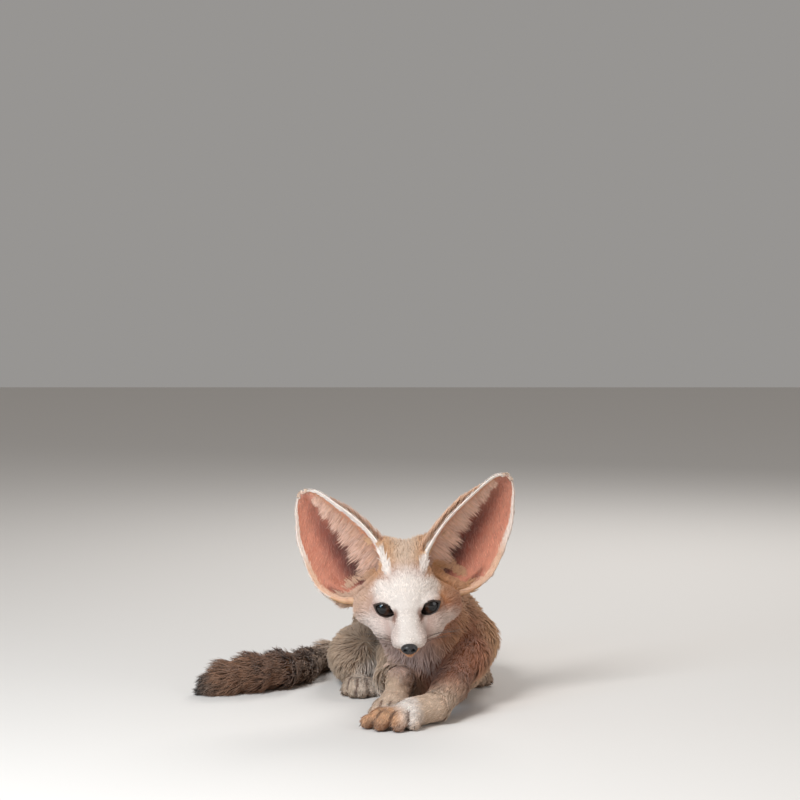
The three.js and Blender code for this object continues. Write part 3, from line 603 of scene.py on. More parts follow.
# The room that the ears need in the head: the two edges of an ear at nine rows up it, each
# (up, across), and the depth of its cup there as a share of the deepest.
INNER_EDGE = [
    (-3, -15), (4, -23), (18, -25.5), (34, -25), (50, -21.5), (64, -17), (77, -12.5), (84.5, -9),
    (88.5, -4.5),
]
OUTER_EDGE = [
    (-6, 8), (2.5, 21.5), (18, 30.5), (34, 30.5), (48, 27.5), (62, 23.5), (75, 16), (83.5, 10.5),
    (88.5, 5),
]
CUP_DEPTH = [0.25, 0.85, 1, 1, 0.88, 0.68, 0.45, 0.2, 0]
EAR_DEPTH = 15
EAR_REACH = [8, 14, 22, 22, 22, 22, 22, 22, 22]  # how far before its rim it keeps the head away
EARS = {
    "right": {
        "side": -1, "base": (31, 3, 11), "tilt": 35, "lean": 27, "turn": 6, "stretch": 0.93, "width": 1
    },
    "left": {
        "side": 1, "base": (30, 3, 11), "tilt": 35, "lean": 14, "turn": 22, "stretch": 0.98, "width": 1.04
    },
}


def ear_turn(ear):
    """Rotation from the ear's own axes, Z up along it and +Y out of its back, to the head's."""
    return turning(-ear["lean"], ear["side"] * ear["tilt"], ear["side"] * ear["turn"])


def ear_base(ear):
    x, y, z = ear["base"]
    return np.array([ear["side"] * x, y, z])


def off_head(ear, p):
    """Places of the frame in an ear's own axes."""
    return (in_head(p) - ear_base(ear)) @ ear_turn(ear)


def ear_hollow(ear, p):
    """Distance to the space in the cup and before it, which the head stays out of."""
    q = off_head(ear, p)
    rows = np.interp(q[..., 2] / ear["stretch"], [up for up, _ in INNER_EDGE], range(9))
    inner = np.interp(rows, range(9), [across for _, across in INNER_EDGE])
    outer = np.interp(rows, range(9), [across for _, across in OUTER_EDGE])
    half = (outer - inner) / 2
    u = (q[..., 0] * ear["side"] / ear["width"] - (inner + outer) / 2) / half
    valley = np.clip(1 - u * u, 0, 1) ** 0.75 * np.interp(rows, range(9), CUP_DEPTH) * EAR_DEPTH
    reach = np.interp(rows, range(9), EAR_REACH)
    return np.maximum.reduce(
        [(np.abs(u) - 1) * half, q[..., 1] - valley - 1.2, -reach - q[..., 1], -4 - q[..., 2]]
    )


# The grid lines are closest round the head.
xs = steps((-206, -62, 2.4), (-62, 32, 1.0), (32, 68, 2.0))
ys = steps((-196, -78, 1.15), (-78, 106, 2.4))
zs = steps((-3, 48, 1.6), (48, 130, 1.05))
skin_points, skin_quads = wrapped(xs, ys, zs, sampled(xs, ys, zs))
for _ in range(2):
    distance, out = outward(skin_points)
    skin_points = skin_points - 0.8 * np.clip(distance, -1, 1)[:, None] * out
skin = mesh_of("skin", skin_points, skin_quads)
UNDER_SHADE = 0.8  # the skin's brightness as a share of its coat's
store(skin, "marking", markings(skin_points) * UNDER_SHADE)

hide_finish = Finish("hide")
marking = hide_finish.stored("marking")
grain = hide_finish.noise(900, 3)
skin.data.materials.append(
    hide_finish.surface(
        Base_Color=hide_finish.mixed(marking, (0.12, 0.06, 0.04), 0.25 * grain),
        Roughness=0.85,
        Specular_IOR_Level=0.2,
        Normal=hide_finish.bump(grain, 0.0006),
    )
)
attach(skin, "root")
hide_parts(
    "head", "lower_jaw", "neck", "torso", "thigh_left", "thigh_right", "upper_foreleg_left",
    "lower_foreleg_left", "upper_foreleg_right", "lower_foreleg_right", "shank_left", "shank_right",
    "forepaw_left", "forepaw_right", "hindpaw_left", "hindpaw_right", "tail_root", "tail_middle",
    "tail_tip",
)


# Ears
# Each is a thin cup of skin, over 80 mm tall and deepest in the middle, with a rolled rim, the
# small pouch on its outer edge and a dark canal at its root. It is sunk in the skin of the head.

EAR_CREST = 2.4  # how far the tip bows up between its edges


def on_head(ear, p):
    """Places in an ear's own axes, moved to the frame."""
    return out_of_head(p @ ear_turn(ear).T + ear_base(ear))


def eased(values, at):
    """A smooth curve through evenly spaced values, read at any places along it."""
    values = np.asarray(values, float)
    at = np.clip(at, 0, len(values) - 1)
    i = np.clip(at.astype(int), 0, len(values) - 2)
    t = at - i
    v = [values[np.clip(i + n, 0, len(values) - 1)] for n in (-1, 0, 1, 2)]
    return 0.5 * (
        2 * v[1] + (v[2] - v[0]) * t + (2 * v[0] - 5 * v[1] + 4 * v[2] - v[3]) * t ** 2
        + (3 * v[1] - v[0] - 3 * v[2] + v[3]) * t ** 3
    )


def cup(ear, row, share):
    """A place on the front of the ear: row 0 to 8 up it, share 0 to 1 from its inner edge."""
    row, share = np.broadcast_arrays(np.asarray(row, float), np.asarray(share, float))
    inner = [eased([p[n] for p in INNER_EDGE], row) for n in (0, 1)]
    outer = [eased([p[n] for p in OUTER_EDGE], row) for n in (0, 1)]
    u = 2 * share - 1
    bow = np.clip(1 - u * u, 0, 1)
    valley = bow ** 0.75 * eased(CUP_DEPTH, row) * EAR_DEPTH
    along = inner[0] + (outer[0] - inner[0]) * share + EAR_CREST * bow * np.clip(row - 7, 0, 1)
    across = inner[1] + (outer[1] - inner[1]) * share
    fold = np.exp(-((row - 1.9) / 0.8) ** 2 - ((share - 0.86) / 0.045) ** 2)
    pocket = np.exp(-((row - 1.6) / 0.6) ** 2 - ((share - 0.94) / 0.03) ** 2)
    canal = np.exp(-((row - 0.9) / 0.6) ** 2 - ((share - 0.42) / 0.12) ** 2)
    ripple = 0.35 * np.sin(row * 5 + share * 9) * bow
    valley = valley - 2.4 * fold + 1.4 * pocket + 4 * canal + ripple
    return np.stack([across * ear["width"] * ear["side"], valley, along * ear["stretch"]], -1)


def ear_frame(ear, row, share, h=0.02):
    """Places on the cup with the direction out of its front, up it and across it, placed."""
    here = cup(ear, row, share)
    up = cup(ear, np.asarray(row) + h, share) - cup(ear, np.asarray(row) - h, share)
    over = cup(ear, row, np.clip(share + h, 0, 1)) - cup(ear, row, np.clip(share - h, 0, 1))
    front = np.cross(up, over)
    front *= np.where(front[..., 1:2] > 0, -1, 1)
    turn = HEAD_TURN @ ear_turn(ear)
    return (on_head(ear, here), *[unit(v) @ turn.T for v in (front, up, over)])


EAR_ROWS = np.linspace(0, 8, 57)
EAR_SHARES = (1 - np.cos(np.linspace(0, math.pi, 33))) / 2
EAR_SALMON = rgb("#bd7a62")
EAR_ROSE = rgb("#c48a76")
EAR_TAN = rgb("#c98c62")
EAR_RED = rgb("#7c372a")
EAR_DARK = rgb("#3f1d16")
EAR_BACK = rgb("#c49a70")
EAR_PALE = rgb("#e0bba8")
EAR_CREAM = rgb("#dfb597")


def ear_colours(row, share, front=True):
    """Salmon lobe, dark red valley down the middle deepened with painted shade to a near-black
    canal of painted shade, painted shade in the pouch, tan band inside a white inner rim, cream outer rim."""
    row, share = np.broadcast_arrays(row, share)
    row, share = row.ravel(), share.ravel()
    if not front:
        rim = np.clip((0.06 - share) / 0.03, 0, 1) + np.clip((share - 0.95) / 0.03, 0, 1)
        return layered(
            EAR_BACK,
            (WHITE, np.clip((row - 6) / 3, 0, 0.5)),
            (WHITE, 0.9 * rim * (row > 1.5)),
        )
    middle = np.exp(-np.abs((share - 0.56) / 0.19) ** 2.5) * np.clip(1.7 - row / 5, 0, 1)
    deep = np.exp(-np.abs((share - 0.53) / 0.14) ** 2) * np.clip(1.6 - row / 4, 0, 1)
    canal = np.exp(-((row - 0.9) / 1.1) ** 2 - ((share - 0.42) / 0.22) ** 2)
    pocket = np.exp(-((row - 1.45) / 0.5) ** 2 - ((share - 0.925) / 0.035) ** 2)
    band = np.exp(-((share - 0.13) / 0.07) ** 2)
    return layered(
        EAR_SALMON,
        (EAR_ROSE, np.clip((0.5 - share) * 4, 0, 0.8)),
        (EAR_TAN, 0.75 * band),
        (EAR_CREAM, 0.55 * np.clip((1.3 - row) / 1.2, 0, 1) * np.clip((share - 0.62) * 5, 0, 1)),
        # the valley: partly the skin's own dark red, partly painted shade, darkest in the deep of the cup
        (EAR_RED, 0.92 * middle),
        (EAR_DARK, 0.85 * deep),
        # painted shade in the canal and in the pouch
        (EAR_DARK, 0.95 * canal),
        (EAR_RED * 0.7, 0.9 * pocket),
        (EAR_CREAM, 0.7 * np.clip((share - 0.955) / 0.03, 0, 1)),
        (WHITE, 0.8 * np.clip((share - 0.965) / 0.02, 0, 1) * np.clip(row - 3, 0, 1)),
        (WHITE, np.clip((0.04 - share) / 0.02, 0, 1)),
        (WHITE, 0.85 * np.clip((row - 7.5) / 0.4, 0, 1)),
    )


def bands(rows, count, turned=False):
    """Quads between each two of several rings of points; turned ones face the other way."""
    index = np.arange(rows * count).reshape(rows, count)
    a, b = index[:-1], index[1:]
    next_a, next_b = np.roll(a, -1, 1), np.roll(b, -1, 1)
    corners = [a, b, next_b, next_a] if turned else [a, next_a, next_b, b]
    return np.stack(corners, -1).reshape(-1, 4)


def ear_skin(name, ear):
    """The skin of one ear, thin at its rim and thick at its root, front and back in one."""
    row, share = np.meshgrid(EAR_ROWS, EAR_SHARES, indexing="ij")
    here, front, _, _ = ear_frame(ear, row, share)
    bow = 4 * share * (1 - share)
    root = np.clip(1 - row / 3, 0, 1)
    thick = 1 + bow ** 0.5 * np.clip((8 - row) / 1.5, 0, 1) + 6 * root ** 2
    behind = here - front * thick[..., None]
    rows, columns = row.shape
    grid = np.concatenate([here, behind[:, ::-1]], 1)
    size = 2 * columns
    quads = bands(rows, size)
    if ear["side"] > 0:
        quads = quads[:, ::-1]
    ends = [
        [first + n, first + n + 1, first + size - 2 - n, first + size - 1 - n]
        for first in ((rows - 1) * size, 0)
        for n in range(columns - 1)
    ]
    piece = mesh_of(name, grid.reshape(-1, 3), np.concatenate([quads, ends]))
    inside, outside = [
        ear_colours(row, share, front_side).reshape(rows, columns, 3) for front_side in (True, False)
    ]
    store(piece, "marking", np.concatenate([inside, outside[:, ::-1]], 1).reshape(-1, 3))
    return piece


ear_finish = Finish("ear skin")
marking = ear_finish.stored("marking")
veins = ear_finish.noise(160, 5, 0.7).spread(0.52, 0.6)
pores = ear_finish.noise(2600, 2)
ear_finish.surface(
    Base_Color=ear_finish.mixed(marking, (0.34, 0.07, 0.04), 0.22 * veins),
    Roughness=0.55 + 0.2 * pores,
    Subsurface_Weight=0.15,
    Subsurface_Scale=0.002,
    Subsurface_Radius=(1.0, 0.35, 0.2),
    Specular_IOR_Level=0.3,
    Normal=ear_finish.bump(pores, 0.0003),
)
for name, ear in EARS.items():
    piece = ear_skin(f"ear_{name}_skin", ear)
    piece.data.materials.append(ear_finish.material)
    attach(piece, "root")
    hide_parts(f"ear_{name}")


# Eyes
# Round, dark and wet: a ball of glassy tissue, nearly black, with a deep brown iris that only
# shows at its edge, under a clear cornea that bulges from its front.

GAZE = np.array([0.42, -0.9, 0.08])
GAZE = GAZE / np.linalg.norm(GAZE)


def ball(across, along):
    """Directions over a sphere about Z, and its quads, with pinholes too small to see as poles."""
    theta = np.linspace(0.02, math.pi - 0.02, along)
    phi = np.linspace(0, 2 * math.pi, across, endpoint=False)
    t, f = np.meshgrid(theta, phi, indexing="ij")
    d = np.stack([np.sin(t) * np.cos(f), np.sin(t) * np.sin(f), np.cos(t)], -1)
    return d.reshape(-1, 3), bands(along, across, turned=True)


eye_finish = Finish("eye")
iris = eye_finish.stored("iris", output=2)
fibres = eye_finish.noise(1400, 4)
eye_finish.surface(
    Base_Color=eye_finish.mixed((0.004, 0.003, 0.003), (0.03, 0.012, 0.006), iris * (0.5 + fibres)),
    Roughness=0.08 + 0.1 * fibres,
    Coat_Weight=0.6,
    Coat_Roughness=0.02,
    Specular_IOR_Level=0.2,
)
for name, side in (("left", 1), ("right", -1)):
    d, quads = ball(64, 40)
    facing = d @ (GAZE * np.array([side, 1, 1]))
    cornea = 1 + 0.035 * np.clip((facing - 0.75) / 0.25, 0, 1) ** 1.5
    centre = np.array(EYE_CENTRE) * np.array([side, 1, 1])
    spots = centre + d * (EYE_RADIUS - 0.2) * cornea[:, None]
    piece = mesh_of(f"eye_{name}_ball", out_of_head(spots), quads)
    ring = np.clip((facing - 0.62) / 0.08, 0, 1) * np.clip((0.88 - facing) / 0.06, 0, 1)
    store(piece, "iris", ring)
    piece.data.materials.append(eye_finish.material)
    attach(piece, "root")
    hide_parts(f"eye_{name}")


# Eyelids
# Bare dark skin that lines the opening of each eye and rests on the ball, drawn out to a
# point at the inner corner.

# Rings from the lid's edge to its root: the share of the opening's outline that each follows,
# and its distance from the middle of the eyeball.
LID_RINGS = [(0.93, 7.9), (0.97, 8.6), (1.02, 9.2), (1.08, 9.4), (1.15, 9.1), (1.25, 7.7)]
LID_POINTS = 56


def lid(name, side):
    """Both lids of one eye, as one ring round its opening."""
    closed = np.array(EYE_OUTLINE + EYE_OUTLINE[:3], float)
    places = 1 + np.linspace(0, len(EYE_OUTLINE), LID_POINTS, endpoint=False)
    outline = np.stack([eased(closed[:, n], places) for n in (0, 1)], 1)
    reach = np.linalg.norm(outline, axis=1)
    rings = []
    for share, radius in LID_RINGS:
        limit = 7.7 if share < 1 else 9.9
        flat = outline * (np.minimum(reach * share, limit) / reach)[:, None]
        deep = np.sqrt(np.maximum(radius ** 2 - (flat ** 2).sum(1), 6))
        x, y, z = EYE_CENTRE
        rings.append(np.stack([side * (x + flat[:, 0]), y - deep, z + flat[:, 1]], 1))
    quads = bands(len(rings), LID_POINTS, turned=True)
    return mesh_of(name, out_of_head(np.concatenate(rings)), quads if side > 0 else quads[:, ::-1])


lid_finish = Finish("eyelid")
creases = lid_finish.noise(1100, 4)
lid_finish.surface(
    Base_Color=lid_finish.mixed((0.012, 0.008, 0.006), (0.05, 0.03, 0.022), creases),
    Roughness=0.35 + 0.25 * creases,
    Specular_IOR_Level=0.4,
    Normal=lid_finish.bump(creases, 0.0003),
)
for name, side in (("left", 1), ("right", -1)):
    piece = lid(f"eyelid_{name}", side)
    piece.data.materials.append(lid_finish.material)
    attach(piece, "root")


# Nose
# A bare black pad of pebbled, moist skin, with two comma-shaped nostrils and a groove down
# its middle. It is sunk in the tip of the muzzle.

NOSE_CENTRE = np.array([0, -67.4, -17.0])
NOSE_HALVES = np.array([6.1, 4.2, 4.0])
NOSE_TAPER = 0.16  # how much narrower the pad is at its lower edge
d, quads = ball(96, 64)
d = d[:, [0, 2, 1]] * np.array([1, -1, 1])
spots = d * (NOSE_HALVES * (1 - NOSE_TAPER * np.clip(-d[:, 2:], 0, 1) * np.array([1, 0, 0])))
front = d[:, 1] < 0
for side in (-1, 1):
    gap = np.hypot((spots[:, 0] - side * 2.7) / 1.25, (spots[:, 2] + 0.1) / 1.05)
    slit = np.hypot((spots[:, 0] - side * 4.4) / 1.8, (spots[:, 2] + 0.9) / 0.45)
    sunk = np.exp(-gap ** 4) * 2.4 + np.exp(-slit ** 2) * 0.9
    spots[:, 1] += front * sunk
groove = np.exp(-(spots[:, 0] / 0.35) ** 2) * np.clip((1.5 - spots[:, 2]) / 3, 0, 1)
spots[:, 1] += front * 0.45 * groove
nose = mesh_of("nose_pad", out_of_head(spots + NOSE_CENTRE), quads[:, ::-1])
nose_finish = Finish("nose")
pebbles = nose_finish.node(
    "ShaderNodeTexVoronoi", {"feature": "DISTANCE_TO_EDGE"},
    {"Vector": nose_finish.node("ShaderNodeTexCoord", output=3), "Scale": 1500},
)
nose_finish.surface(
    Base_Color=nose_finish.mixed((0.012, 0.010, 0.010), (0.045, 0.036, 0.034), pebbles.spread(0.0, 0.4)),
    Roughness=0.5 - 0.15 * pebbles.spread(0.0, 0.3),
    Coat_Weight=0.25,
    Coat_Roughness=0.25,
    Normal=nose_finish.bump(pebbles.spread(0.0, 0.25), 0.00025),
)
nose.data.materials.append(nose_finish.material)
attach(nose, "root")
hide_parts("nose")


# Claws
# Short curved claws of dark horn, one at the tip of each toe, half hidden in the fur. Each is
# a tapering row of rings that starts inside its toe.

CLAW_RINGS = 7
CLAW_SIDES = 10
CLAW_LENGTH = 5.2
CLAW_DROP = 3.6
CLAW_RADIUS = 1.25
CLAW_ROOT = (1.5, 5.4)  # how far before the toe's last joint it starts, and how high

claw_rings, claw_quads = [], []
angle = np.linspace(0, 2 * math.pi, CLAW_SIDES, endpoint=False)[:, None]
for root, pad, tips in PAWS.values():
    for x, y in tips:
        ahead = np.array([x - pad[0], y - pad[1], 0.0])
        ahead /= np.linalg.norm(ahead)
        across = np.cross(ahead, (0, 0, 1))
        claw_quads.append(bands(CLAW_RINGS, CLAW_SIDES) + len(claw_rings) * CLAW_SIDES)
        for t in np.linspace(0, 1, CLAW_RINGS):
            centre = np.array([x, y, CLAW_ROOT[1]]) + ahead * (CLAW_ROOT[0] + CLAW_LENGTH * t)
            centre = centre - np.array([0, 0, CLAW_DROP * t ** 1.6])
            radius = CLAW_RADIUS * (1 - t) ** 0.7 + 0.12
            ring = centre + radius * (0.7 * np.cos(angle) * across + np.sin(angle) * np.array([0, 0, 1]))
            ring[:, 2] = np.maximum(ring[:, 2], 0.1)
            claw_rings.append(ring)
claws = mesh_of("claws", np.concatenate(claw_rings), np.concatenate(claw_quads))
claw_finish = Finish("claw")
streaks = claw_finish.noise(700, 4)
claws.data.materials.append(
    claw_finish.surface(
        Base_Color=claw_finish.mixed((0.03, 0.02, 0.014), (0.16, 0.1, 0.06), streaks),
        Roughness=0.35 + 0.2 * streaks,
        Normal=claw_finish.bump(streaks, 0.0002),
    )
)
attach(claws, "root")


# Coat
# Soft woolly fur, short on face and feet, long on neck, flanks and tail. Each tuft is a slim
# three-sided wisp that tapers to a point. It is rooted in the skin, leaves it at a slant and
# bends along the body.

FLOOR_GAP = 0.6  # the lowest that a tuft's middle line runs
TUFT_PATCH = 0.003  # the side of a tuft's patch on the unrolled skin, which is 1 across


def wisps(name, lines, width, outs, tint, places):
    """Joins tufts in one mesh. lines: places from root to tip for each tuft; places: where each
    root lies on the unrolled skin, from 0 to 1."""
    lines = np.array(lines, float)
    lines[..., 2] = np.maximum(lines[..., 2], FLOOR_GAP)
    count, stations = lines.shape[:2]
    ahead = lines[:, 1:] - lines[:, :-1]
    ahead = np.concatenate([ahead, ahead[:, -1:]], 1)
    across = unit(np.cross(ahead, outs[:, None]))
    up = unit(np.cross(across, ahead))
    t = np.linspace(0, 1, stations)[:-1]
    half = (width[:, None] * (0.75 + 0.9 * t - 1.3 * t ** 2) / 2)[..., None]
    rings = lines[:, :-1]
    corners = np.stack(
        [rings - across[:, :-1] * half, rings + across[:, :-1] * half, rings + up[:, :-1] * half * 0.7], 2
    )
    points = np.concatenate([corners.reshape(count, -1, 3), lines[:, -1:]], 1)
    per = points.shape[1]
    faces = [(2, 1, 0)]
    for ring in range(stations - 2):
        a, b = 3 * ring, 3 * ring + 3
        for n in range(3):
            m = (n + 1) % 3
            faces += [(a + n, a + m, b + m), (a + n, b + m, b + n)]
    last = 3 * (stations - 2)
    faces += [(last, last + 1, per - 1), (last + 1, last + 2, per - 1), (last + 2, last, per - 1)]
    faces = np.array(faces)
    every = (faces[None] + per * np.arange(count)[:, None, None]).reshape(-1, 3)
    piece = mesh_of(name, points.reshape(-1, 3), every, smooth=False)
    along = np.repeat(np.linspace(0, 1, stations), [3] * (stations - 1) + [1])
    store(piece, "marking", np.repeat(tint, per, axis=0))
    store(piece, "along", np.tile(along, count))
    layer = piece.data.uv_layers.new(name="OFBake")
    patch = np.stack([np.tile([-0.5, 0.5, 0.0], stations - 1), np.repeat(t, 3) - 0.5], 1)
    patch = np.concatenate([patch, [[0, 0.5]]]) * TUFT_PATCH
    spots = (places[:, None] + patch[None]).reshape(-1, 2)
    layer.data.foreach_set("uv", spots[every.ravel()].astype(np.float32).ravel())
    return piece


coat_finish = Finish("coat")
marking = coat_finish.stored("marking")
along = coat_finish.stored("along", output=2)
patches = coat_finish.noise(260, 3)
rooted = coat_finish.mixed(marking, (0.10, 0.05, 0.03), 0.5 * (1 - along) ** 2)
coat_finish.surface(
    Base_Color=coat_finish.mixed(rooted, (0.9, 0.8, 0.7), 0.16 * along * patches),
    Roughness=0.7 + 0.15 * patches,
    Specular_IOR_Level=0.25,
    Sheen_Weight=0.2,
    Sheen_Roughness=0.5,
)


def hang(piece):
    """Gives a piece the coat's finish and fixes it to the model."""
    piece.data.materials.append(coat_finish.material)
    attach(piece, "root")


def line_share(p, joints):
    """For each place: how far along a run of joints it lies, the run's nearest point and the
    run's direction there."""
    j = np.array(joints, float)[:, :3]
    lengths = np.linalg.norm(np.diff(j, axis=0), axis=1)
    before = np.concatenate([[0], np.cumsum(lengths)])
    best = np.full(len(p), 1e9)
    share, foot, way = np.zeros(len(p)), np.zeros((len(p), 3)), np.zeros((len(p), 3))
    for n in range(len(j) - 1):
        run = j[n + 1] - j[n]
        t = np.clip((p - j[n]) @ run / (run @ run), 0, 1)
        spot = j[n] + t[:, None] * run
        d = np.linalg.norm(p - spot, axis=1)
        closer = d < best
        best[closer] = d[closer]
        share[closer] = (before[n] + t[closer] * lengths[n]) / before[-1]
        foot[closer] = spot[closer]
        way[closer] = run / lengths[n]
    return share, foot, way


SPINE = [
    (-16, -178, 72), (-16, -110, 86), (-9, -82, 72), (4, -50, 40), (-6, 0, 38), (-20, 60, 36),
    (-22, 96, 30),
]


def unrolled(p, joints, column=0, columns=1):
    """Where each place lies on the skin, unrolled round a line of joints."""
    share, foot, way = line_share(p, joints)
    side = unit(np.cross(way, (0, 0, 1)))
    up = np.cross(side, way)
    d = p - foot
    turn = np.arctan2((d * side).sum(1), (d * up).sum(1)) / (2 * math.pi) + 0.5
    return np.stack([(column + 0.02 + 0.96 * turn) / columns, 0.01 + 0.98 * share], 1)


# The skin's triangles, with their areas, their middles and the form that each covers.
triangles = np.concatenate([skin_quads[:, [0, 1, 2]], skin_quads[:, [0, 2, 3]]])
corners = skin_points[triangles]
sides = corners[:, 1:] - corners[:, :1]
areas = np.linalg.norm(np.cross(sides[:, 0], sides[:, 1]), axis=1) / 2
middles = corners.mean(1)
kinds = np.array([form[0] for form in FLESH])[hide(middles, kinds=True)[1]]


def roots_on(wanted, spacing, seed):
    """Roots spread over the skin of some forms, about a spacing apart, with the way out."""
    local = np.random.default_rng(seed)
    chosen = np.flatnonzero(wanted)
    share = areas[chosen] / areas[chosen].sum()
    count = int(areas[chosen].sum() / spacing ** 2)
    picked = chosen[local.choice(len(chosen), count, p=share)]
    a, b = local.random((2, count, 1))
    over = a + b > 1
    a, b = np.where(over, 1 - a, a), np.where(over, 1 - b, b)
    c = corners[picked]
    spots = c[:, 0] + a * (c[:, 1] - c[:, 0]) + b * (c[:, 2] - c[:, 0])
    _, outs = outward(spots)
    return spots, outs, local


def grown(spots, outs, lie, length, local, lift, clump, clump_size, stations, wave):
    """Centre lines of tufts: out of the skin at a slant, then along the lie, gathered in clumps.
    lift: how far they stand off it; clump: how far their tips lean to the clump's middle."""
    lie = unit(lie - outs * (lie * outs).sum(1, keepdims=True))
    lie += 0.16 * local.normal(size=lie.shape)
    lie = unit(lie - outs * (lie * outs).sum(1, keepdims=True))
    across = np.cross(lie, outs)
    heads = spots[local.choice(len(spots), max(8, int(len(spots) * 1.2 / clump_size ** 2)), replace=False)]
    tree = kdtree.KDTree(len(heads))
    for n, head in enumerate(heads):
        tree.insert(head, n)
    tree.balance()
    found = [tree.find(spot)[:2] for spot in spots]
    towards = np.array([f[0] for f in found]) - spots
    group = np.array([f[1] for f in found])
    towards *= (np.linalg.norm(towards, axis=1, keepdims=True) < 2.5 * clump_size)
    bent = local.normal(size=len(heads))[group] * 0.5 + 0.5 * local.normal(size=len(spots))
    height = lift * (0.75 + 0.5 * local.random(len(heads))[group])
    lines = []
    for t in np.linspace(0, 1, stations):
        rise = height * (t - 0.45 * t * t)
        step = (
            lie * (t * (1 - 0.25 * height))[:, None]
            + outs * rise[:, None]
            + across * (wave * bent * t * t)[:, None]
        )
        lines.append(spots - 0.5 * outs + step * length[:, None] + clump * towards * t ** 1.4)
    return np.stack(lines, 1), group


def tinted(spots, group, local, vary):
    """The coat's colour at each root, a little lighter or darker from clump to clump."""
    shade = 1 + vary * local.normal(size=group.max() + 1)[group]
    shade = shade + 0.5 * vary * local.normal(size=len(spots))
    return np.clip(markings(spots) * np.clip(shade, 0.5, 1.5)[:, None], 0, 1)


NOSE_TIP = out_of_head((0, -66, -13))
BARE_RIM = 0.9  # how far round an eye's opening no tuft grows


def bare_of_hair(p):
    """True where a tuft would grow within an eye's opening or its lids, or under the nose pad."""
    q = in_head(p)
    open_skin = np.ones(len(p), bool)
    for side in (-1, 1):
        inside = past_opening(q, side) < BARE_RIM
        open_skin &= ~(inside & (q[:, 1] < EYE_CENTRE[1] + 2) & (side * q[:, 0] > 0))
    pad = np.linalg.norm((q - NOSE_CENTRE) / np.array([6.4, 5, 4.8]), axis=1) < 1
    return pad | ~open_skin


# Face: short fur that lies back from the nose, longer toward cheeks and crown.
face = (kinds == "head") | (kinds == "jaw")
spots, outs, local = roots_on(face, spacing=0.8, seed=21)
haired = ~bare_of_hair(spots)
spots, outs = spots[haired], outs[haired]
q = in_head(spots)
back = np.clip((q[:, 1] + 60) / 75, 0, 1)
cheek = np.clip((np.abs(q[:, 0]) - 16) / 16, 0, 1) * np.clip((8 - q[:, 2]) / 20, 0, 1)
crown = near(q, (0, 14, 44), (24, 24, 13), 0.6)
rim_foot = np.clip(1.4 - bones(mirrored(q), RIM_FOOT) / 1.5, 0, 1)
away = spots - NOSE_TIP
away /= np.linalg.norm(away, axis=1, keepdims=True)
sideways = HEAD_TURN[:, 0] * np.sign(q[:, :1])
lie = away + np.outer(cheek, (0, 0.3, -0.5)) + 0.8 * cheek[:, None] * sideways + np.outer(back, (0, 0.3, 0))
lie += np.outer(crown, (0, 0.1, 0.7))
length = 2.3 + 4.2 * back ** 1.4 + 7 * cheek * local.random(len(spots)) ** 0.5 + local.random(len(spots))
length += 8 * crown * local.random(len(spots)) ** 0.5
length += 3 * rim_foot
lines, group = grown(
    spots, outs, lie, length, local, lift=0.3, clump=0.25, clump_size=3.0, stations=3, wave=0.14
)
colour = tinted(spots, group, local, vary=0.05)
FOREFACE = -18  # in the head's own axes, where the muzzle's fur gives way to the cheeks' and crown's
EYE_LINE = 6  # the height of the eyes, where the cheeks' gives way to the crown's
parts = {
    "coat_muzzle": q[:, 1] < FOREFACE,
    "coat_cheeks": (q[:, 1] >= FOREFACE) & (q[:, 2] < EYE_LINE),
    "coat_crown": (q[:, 1] >= FOREFACE) & (q[:, 2] >= EYE_LINE),
}
for name, part in parts.items():
    width = 0.3 + 0.035 * length[part]
    places = unrolled(spots[part], SPINE)
    hang(wisps(name, lines[part], width, outs[part], colour[part], places))

# Neck and trunk: long soft wool in clumps. It lies back and down from the spine, and where the
# body faces forward it falls straight down, parted by the shoulders and the knees.
body = (kinds == "torso") | (kinds == "neck") | (kinds == "thigh")
off_floor = middles[:, 2] > 1.5
spots, outs, local = roots_on(body & off_floor, spacing=1.5, seed=22)
facing = np.clip(-outs[:, 1], 0, 1)
fall = np.clip((60 - spots[:, 2]) / 50, 0, 1)
parted = 0.5 * outs[:, 0] - 0.4 * facing * np.tanh((-8 - spots[:, 0]) / 20)
lie = np.stack([parted, 1 - facing, -0.25 - 0.5 * fall - facing], 1)
nape = near(spots, (-14, -84, 104), (26, 22, 16), 0.6)
lie += np.outer(nape, (0, 0.2, 0.5))
length = 9.5 + 4 * local.random(len(spots)) - 3.5 * np.clip((24 - spots[:, 2]) / 20, 0, 1)
length -= 2 * near(spots, (-52, -10, 26), (42, 60, 40), 0.5)
lines, group = grown(
    spots, outs, lie, length, local, lift=0.46, clump=0.25, clump_size=3.6, stations=4, wave=0.2
)
colour = tinted(spots, group, local, vary=0.1)
WOOL_WIDTH = 0.78
for name, low, high in (("coat_front", -200, -60), ("coat_middle", -60, -10), ("coat_back", -10, 200)):
    part = (spots[:, 1] >= low) & (spots[:, 1] < high)
    width = np.full(part.sum(), WOOL_WIDTH)
    places = unrolled(spots[part], SPINE)
    hang(wisps(name, lines[part], width, outs[part], colour[part], places))

